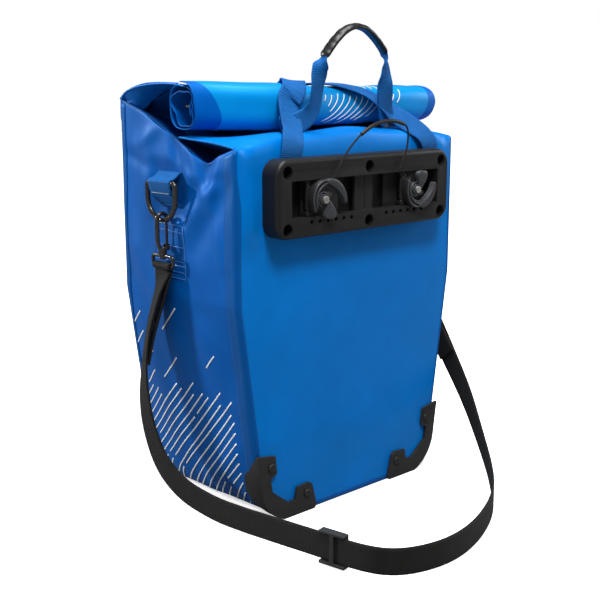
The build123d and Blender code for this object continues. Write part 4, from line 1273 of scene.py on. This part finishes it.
def ring_tab(side, name):
    """Webbing doubled over the straight bar of a D-ring and sewn to the side, with a white stitch line."""
    bar_x = side * RING_X
    bar_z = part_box(f"{name}_d_ring")[1].z - 2 * MM
    wall = side * (HALF + 0.7 * MM)
    width = TAB_HIGH.y - TAB_LOW.y
    middle_y = (TAB_LOW.y + TAB_HIGH.y) / 2
    reach = abs(bar_x - wall)
    drop = bar_z - TAB_LOW.z
    profile = [(0.0, TAB_HIGH.z - bar_z), (0.22 * reach, 8.0 * MM), (0.5 * reach, 5.2 * MM),
               (0.8 * reach, 3.3 * MM)]
    for degrees in (75, 40, 5, -25):
        angle = math.radians(degrees)
        profile.append((reach + WEB_TURN * math.cos(angle), WEB_TURN * math.sin(angle)))
    profile += [(1.15 * reach, -0.25 * drop), (1.0 * reach, -0.42 * drop), (0.72 * reach, -0.6 * drop),
                (0.38 * reach, -0.78 * drop), (0.14 * reach, -0.92 * drop), (0.05 * reach, -drop)]
    stations = []
    samples = [curve_through([Vector(p) for p in profile], k / 60) for k in range(61)]
    even = evenly(samples, 26)
    for k, (out, up) in enumerate(even):
        ahead = way_at(even, k)
        point = Vector((wall + side * out, middle_y, bar_z + up))
        stations.append((point, (side * -ahead.y, 0, ahead.x)))
    web = ribbon(f"{name}_tab_webbing", stations, width, 1.5 * MM, BLUE_WEB, 2)
    line_at = Vector((wall + side * (1.02 * reach + 1.2 * MM), middle_y, bar_z - 0.42 * drop))
    across = Vector((0, width * 0.42, 0))
    line = stitches("line", line_at - across, line_at + across, (side, 0, -0.5), 12, WHITE_THREAD,
                    1.0 * MM, 0.3 * MM)
    foot_at = Vector((wall + side * (0.16 * reach + 1.2 * MM), middle_y, bar_z - 0.92 * drop))
    box_row = stitches("box", foot_at - across, foot_at + across, (side, 0, -0.3), 13, THREAD, 1.8 * MM)
    obj = merge(f"{name}_ring_tab_webbing", [web, line, box_row])
    finish_piece(obj, "bag", [f"{name}_ring_tab"])


# ---------------------------------------------------------------- hardware

def closed_line(points, steps=6):
    """A smooth closed line through points."""
    out = []
    count = len(points)
    for i in range(count):
        four = [points[(i + k - 1) % count] for k in range(4)]
        out += [between(four, k / steps) for k in range(steps)]
    return out


def slab(name, outline, origin, front, back, edge, material):
    """A plate seen from -Y with a rounded edge.

    The outline is (across, up) from origin in millimetres; front and back are depths."""
    line = closed_line(outline)
    twice_area = sum(a.x * b.y - b.x * a.y for a, b in zip(line, line[1:] + line[:1]))
    if twice_area < 0:
        line.reverse()
    count = len(line)
    inward = []
    for i in range(count):
        ahead = (line[(i + 1) % count] - line[i - 1]).normalized()
        inward.append(Vector((-ahead.y, ahead.x)))
    rings = ((0.0, back), (0.0, front + edge), (0.3 * edge, front + 0.3 * edge), (edge, front))
    points = []
    for inset, depth in rings:
        for p, way in zip(line, inward):
            q = p * MM + way * inset
            points.append((origin.x + q.x, depth, origin.z + q.y))
    last = (len(rings) - 1) * count
    faces = quads(len(rings) - 1, count)
    cap = geometry.tessellate_polygon([[Vector((x, z, 0)) for x, _, z in points[last:]]])
    faces += [tuple(last + j for j in face) for face in cap]
    faces += [tuple(face[::-1]) for face in cap]
    obj = mesh_object(name, points, faces, None, material)
    tidy_normals(obj)
    return obj


def tidy_normals(obj):
    mesh = bmesh.new()
    mesh.from_mesh(obj.data)
    bmesh.ops.recalc_face_normals(mesh, faces=mesh.faces)
    mesh.to_mesh(obj.data)
    mesh.free()
    obj.data.set_sharp_from_angle(angle=math.radians(38))


def thicken(node, amount):
    """Grow a CAD part a little along its own surface."""
    grow = NODES[node].modifiers.new("grow", "DISPLACE")
    grow.strength = amount
    grow.mid_level = 0.0


# Hook outlines in millimetres from the pivot, across and up, for the hook whose beak points down.
BEAK = [(4, 15), (5, 18), (11, 18.6), (18, 15.8), (24, 10.5), (28, 3.5), (28.8, -3.5), (26.6, -5.5),
        (23.8, -0.5), (19.2, 5), (13, 9.8), (7.5, 12.6)]
CHEEK = [(-13, -10), (-14.6, -1), (-13, 8), (-8.5, 14.6), (-2, 18), (6, 18), (8.5, 14.5), (4, 11.5),
         (-2, 9.5), (-6.5, 5.5), (-8.2, 0), (-7.5, -6), (-9.5, -11)]
RIBS = ([(-11.5, -9.5), (-13.4, -1), (-12, 7.3), (-7.6, 13.6), (-1.2, 16.8), (4, 17)],
        [(-8.6, -7.5), (-9.8, 0), (-7.8, 6.8), (-3.3, 11.6), (2.5, 14.4), (5, 14.6)])
NUB = [(5, 5.5), (9, 6.5), (12.2, 5.4), (12.4, 3), (10, 1.6), (6, 1)]
LEAF = [(4.6, -0.4), (8.4, -4), (12.6, -9), (14.4, -14), (12.4, -17.4), (7, -18.4), (1.4, -17.4),
        (-0.4, -14.2), (1, -8.5), (2.8, -3.2)]


def hook_shapes(side, name):
    """A beaked hook swung round its hinge barrel, ribbed round its hub, with a spade-shaped jaw."""
    screw_low, screw_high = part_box(f"{name}_pivot_screw")
    hook_low, hook_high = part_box(f"{name}_hook")
    jaw_low, jaw_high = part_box(f"{name}_jaw")
    pin_low, pin_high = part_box(f"{name}_hinge_pin")
    pivot = (screw_low + screw_high) / 2
    up = -side
    front, back = hook_low.y, hook_high.y

    def turned(points):
        return [(u, up * w) for u, w in points]

    beak = slab("beak", turned(BEAK), pivot, front, front + 6.5 * MM, 1.3 * MM, HOOK_PLASTIC)
    cheek = slab("cheek", turned(CHEEK), pivot, front + 2.2 * MM, front + 9 * MM, 0.9 * MM, DARK_PLASTIC)
    nub = slab("nub", turned(NUB), pivot, front + 4 * MM, front + 9 * MM, 0.7 * MM, HOOK_PLASTIC)
    parts = [beak, cheek, nub]
    for line in RIBS:
        route = [Vector((pivot.x + u * MM, front + 2.0 * MM, pivot.z + w * MM)) for u, w in turned(line)]
        parts.append(tube("rib", route, 0.85 * MM, HOOK_PLASTIC, 6, 8))
    ring, disc = [], []
    for k in range(25):
        angle = 2 * math.pi * k / 24
        way = Vector((math.cos(angle), 0, math.sin(angle)))
        ring.append(Vector((pivot.x, front + 3.6 * MM, pivot.z)) + 6.6 * MM * way)
        disc.append((7.6 * way.x, 7.6 * way.z))
    parts.append(tube("hub_ring", ring, 0.9 * MM, HOOK_PLASTIC, 2, 8))
    parts.append(slab("hub", disc[:-1], pivot, front + 3.6 * MM, back, 0.6 * MM, DARK_PLASTIC))
    hinge = (pin_low + pin_high) / 2
    low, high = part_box("left_hook")[0].z + 0.2 * MM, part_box("right_hook")[1].z - 0.2 * MM
    half = (high - low) / 2 / MM
    reach = (pivot.x - hinge.x) / MM
    arm = [(0, half), (reach * 0.5, half), (reach, half * 0.8)]
    arm += [(u, -w) for u, w in reversed(arm)]
    middle = Vector((hinge.x, 0, (low + high) / 2))
    parts.append(slab("arm", arm, middle, back - 5.5 * MM, back - 0.4 * MM, 0.6 * MM, DARK_PLASTIC))
    barrel = [Vector((hinge.x, hinge.y, low + (high - low) * k / 4)) for k in range(5)]
    parts.append(tube("barrel", barrel, 3.0 * MM, DARK_PLASTIC, 2, 20))
    obj = merge(f"{name}_hook_shape", parts)
    finish_piece(obj, f"{name}_hook", [f"{name}_hook"])
    leaf = slab("leaf", turned(LEAF), pivot, jaw_low.y - 0.4 * MM, jaw_high.y, 1.2 * MM, HOOK_PLASTIC)
    collar = [(5.2 * math.cos(math.pi * k / 8), 5.2 * math.sin(math.pi * k / 8)) for k in range(16)]
    collar = slab("collar", collar, pivot, jaw_low.y + 1.6 * MM, jaw_high.y, 0.5 * MM, HOOK_PLASTIC)
    obj = merge(f"{name}_jaw_shape", [leaf, collar])
    finish_piece(obj, f"{name}_jaw", [f"{name}_jaw"])


def hard_parts():
    rounded("mount_plate", 0.7 * MM, PLASTIC, "bag", 25)
    rounded("guard_rivets", 0.3 * MM, GUARD_PLASTIC, "bag", 35)
    for side, name in SIDES:
        rounded(f"{name}_guard", 0.8 * MM, GUARD_PLASTIC, "bag", 30)
        rounded(f"{name}_carriage", 0.4 * MM, DARK_PLASTIC, f"{name}_carriage")
        hook_shapes(side, name)
        rounded(f"{name}_pivot_screw", 0.25 * MM, STEEL, f"{name}_hook")
        rounded(f"{name}_swivel_eye", 0.2 * MM, GUNMETAL, "strap")
        rounded(f"{name}_snap_hook", 0.3 * MM, GUNMETAL, f"{name}_snap")
        paint(f"{name}_d_ring", GUNMETAL)
        thicken(f"{name}_d_ring", 0.45 * MM)
        paint(f"{name}_snap_gate", GUNMETAL)
        for part in ("hinge_pin", "detent_pin", "detent_spring"):
            paint(f"{name}_{part}", STEEL)
        rounded(f"{name}_buckle_arm", 0.5 * MM, PLASTIC, f"{name}_buckle_arm")
    rounded("strap_slider", 0.6 * MM, GUARD_PLASTIC, "slider")
    rounded("buckle_socket", 0.8 * MM, PLASTIC, "bag")
    rounded("buckle_plug", 0.8 * MM, PLASTIC, "bag")
    paint("plate_screws", GUNMETAL)
    paint("plate_nuts", STEEL)
    paint("backing_plate", ALLOY)
    paint("back_stiffener", BOARD)
    paint("base_board", BOARD)


def release_cord():
    """The cord that opens both jaws: its tube above the plate, its ends running to the hooks."""
    low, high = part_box("release_grip")
    points = []
    for k in range(9):
        t = k / 8
        x = low.x + 1.5 * MM + (high.x - low.x - 3 * MM) * t
        points.append(Vector((x, (low.y + high.y) / 2, grip_height(x))))
    sleeve = tube("release_sleeve", points, 1.9 * MM, RUBBER, 6, 14)
    finish_piece(sleeve, "release", ["release_grip"])
    paint("release_cord", CORD)


def grip_height(x):
    """Height of the release cord's arc at x, through the three points its tube is bent to."""
    tops = [(-15, 365), (16, 376), (46, 372.5)]
    (x1, z1), (x2, z2), (x3, z3) = [(a * MM, b * MM) for a, b in tops]
    first = (x - x2) * (x - x3) / ((x1 - x2) * (x1 - x3)) * z1
    second = (x - x1) * (x - x3) / ((x2 - x1) * (x2 - x3)) * z2
    return first + second + (x - x1) * (x - x2) / ((x3 - x1) * (x3 - x2)) * z3


def plate_details():
    """Shallow ribs on the bridge between the windows and moulding lines above them."""
    bridge_y = PLATE_LOW.y + 7.5 * MM
    rows = []
    low, high = PLATE_LOW.z + 20 * MM, PLATE_HIGH.z - 21 * MM
    for x in (1.0, 12.5):
        rows.append(bar("rib", x * MM, bridge_y, low, high, 0.7 * MM, 0.3 * MM))
    for x in (-41, 42):
        rows.append(bar("line", x * MM, PLATE_LOW.y, PLATE_HIGH.z - 18 * MM, PLATE_HIGH.z - 4 * MM,
                        0.45 * MM, 0.12 * MM))
    obj = merge("plate_ribs", rows)
    finish_piece(obj, "bag")


def bar(name, x, y, z_low, z_high, half, lift):
    """A low rounded rib standing off a face that looks along -Y."""
    points = []
    steps = 6
    for k, z in enumerate((z_low, z_low + half, z_high - half, z_high)):
        grow = 0.2 if k in (0, 3) else 1.0
        for j in range(steps + 1):
            angle = math.pi * j / steps
            depth = y - lift * math.sin(angle) * grow + 0.05 * MM
            points.append((x + half * math.cos(angle) * grow, depth, z))
    return mesh_object(name, points, quads(3, steps + 1, False), None, PLASTIC)


# ---------------------------------------------------------------- studio

def split_by_ray(tree, seen, mirrored, other):
    """A strength that differs for what the camera sees, for reflections and for soft light."""
    rays = add_node(tree, "ShaderNodeLightPath")
    glossy = maths(tree, "MULTIPLY", rays.outputs["Is Glossy Ray"], mirrored - other)
    rest = maths(tree, "ADD", glossy, other)
    difference = maths(tree, "SUBTRACT", seen, rest)
    return maths(tree, "MULTIPLY_ADD", rays.outputs["Is Camera Ray"], difference, rest)


# Each lamp: name, place, what it looks at, watts and size.
LAMPS = (
    ("key", (-0.55, -1.15, 2.3), (0, 0, 0.2), 58.0, 0.6),
    ("side", (-1.5, 1.9, 1.1), (-0.15, 0, 0.2), 50.0, 0.25),
    ("fill", (-2.2, -0.6, 0.5), (0, 0, 0.2), 4.0, 1.2),
    ("top", (0.0, -0.1, 2.2), (0, 0, 0.3), 40.0, 0.7),
    ("rim", (1.6, -0.6, 0.9), (0, 0, 0.25), 9.0, 0.8),
)


FLOOR_HALF = 6.0
FLOOR_Z = -0.2 * MM
# The floor's glow as the camera sees it: metres from the middle and strength, near and far.
FLOOR_GLOW = ((0.6, 0.62), (2.0, 1.1))


def studio():
    world = bpy.data.worlds.new("studio")
    world.use_nodes = True
    tree = world.node_tree
    background = tree.nodes["Background"]
    background.inputs["Color"].default_value = (1.0, 1.0, 1.0, 1)
    socket(tree, background.inputs["Strength"], split_by_ray(tree, 1.0, 0.06, 0.33))
    bpy.context.scene.world = world
    floor_material, tree, shader, place = start_material("studio_floor", Roughness=0.95)
    shade = noise_of(tree, place.outputs["Object"], 3.0)
    pale = ramp_of(tree, shade, ((0.0, (0.9, 0.9, 0.9)), (1.0, (0.92, 0.92, 0.92))))
    rays = add_node(tree, "ShaderNodeLightPath")
    seen = rays.outputs["Is Camera Ray"]
    socket(tree, shader.inputs["Base Color"], mix_of(tree, seen, (0.22, 0.22, 0.22, 1), pale))
    shader.inputs["Specular IOR Level"].default_value = 0.0
    shader.inputs["Emission Color"].default_value = (1, 1, 1, 1)
    away = add_node(tree, "ShaderNodeVectorMath", {0: place.outputs["Object"]}, operation="LENGTH")
    (near, dim), (distant, bright) = FLOOR_GLOW
    far = {0: away.outputs["Value"], 1: near, 2: distant, 3: dim, 4: bright}
    glow = add_node(tree, "ShaderNodeMapRange", far).outputs[0]
    socket(tree, shader.inputs["Emission Strength"], maths(tree, "MULTIPLY", seen, glow))
    corners = [(x * FLOOR_HALF, y * FLOOR_HALF, FLOOR_Z) for x, y in ((-1, -1), (1, -1), (1, 1), (-1, 1))]
    floor = mesh_object("studio_floor", corners, [(0, 1, 2, 3)], None, floor_material)
    for name, place_at, target, power, size in LAMPS:
        lamp = bpy.data.lights.new(name, "AREA")
        lamp.energy, lamp.size = power, size
        obj = linked(name, lamp)
        obj.location = place_at
        obj.rotation_mode = "QUATERNION"
        obj.rotation_quaternion = (Vector(target) - Vector(place_at)).to_track_quat("-Z", "Y")
    bpy.context.scene.view_settings.view_transform = "Standard"


CAMERA_AZIMUTH = -43.908
CAMERA_ELEVATION = 11.724
CAMERA_PLACE = (-0.767, -0.807, 0.4197)
LENS = 65.17


def camera():
    a, e = math.radians(CAMERA_AZIMUTH), math.radians(CAMERA_ELEVATION)
    back = Vector((math.sin(a) * math.cos(e), -math.cos(a) * math.cos(e), math.sin(e)))
    data = bpy.data.cameras.new("camera")
    data.lens = LENS
    data.sensor_width = 36.0
    obj = linked("camera", data)
    obj.location = CAMERA_PLACE
    obj.rotation_mode = "QUATERNION"
    obj.rotation_quaternion = (-back).to_track_quat("-Z", "Y")
    bpy.context.scene.camera = obj


# ---------------------------------------------------------------- build

back_skin()
front_skin()
base_skin()
for side, name in SIDES:
    gusset_skin(side, name)
    folded_end(side, name)
    gusset_strokes(side, name)
    weld_marks(side, name)
    ring_tab(side, name)
seam_tapes()
seam_lips()
roll_skin()
roll_strokes()
closure_straps()
front_straps()
handle_pieces()
shoulder_strap()
hard_parts()
release_cord()
plate_details()
studio()
camera()
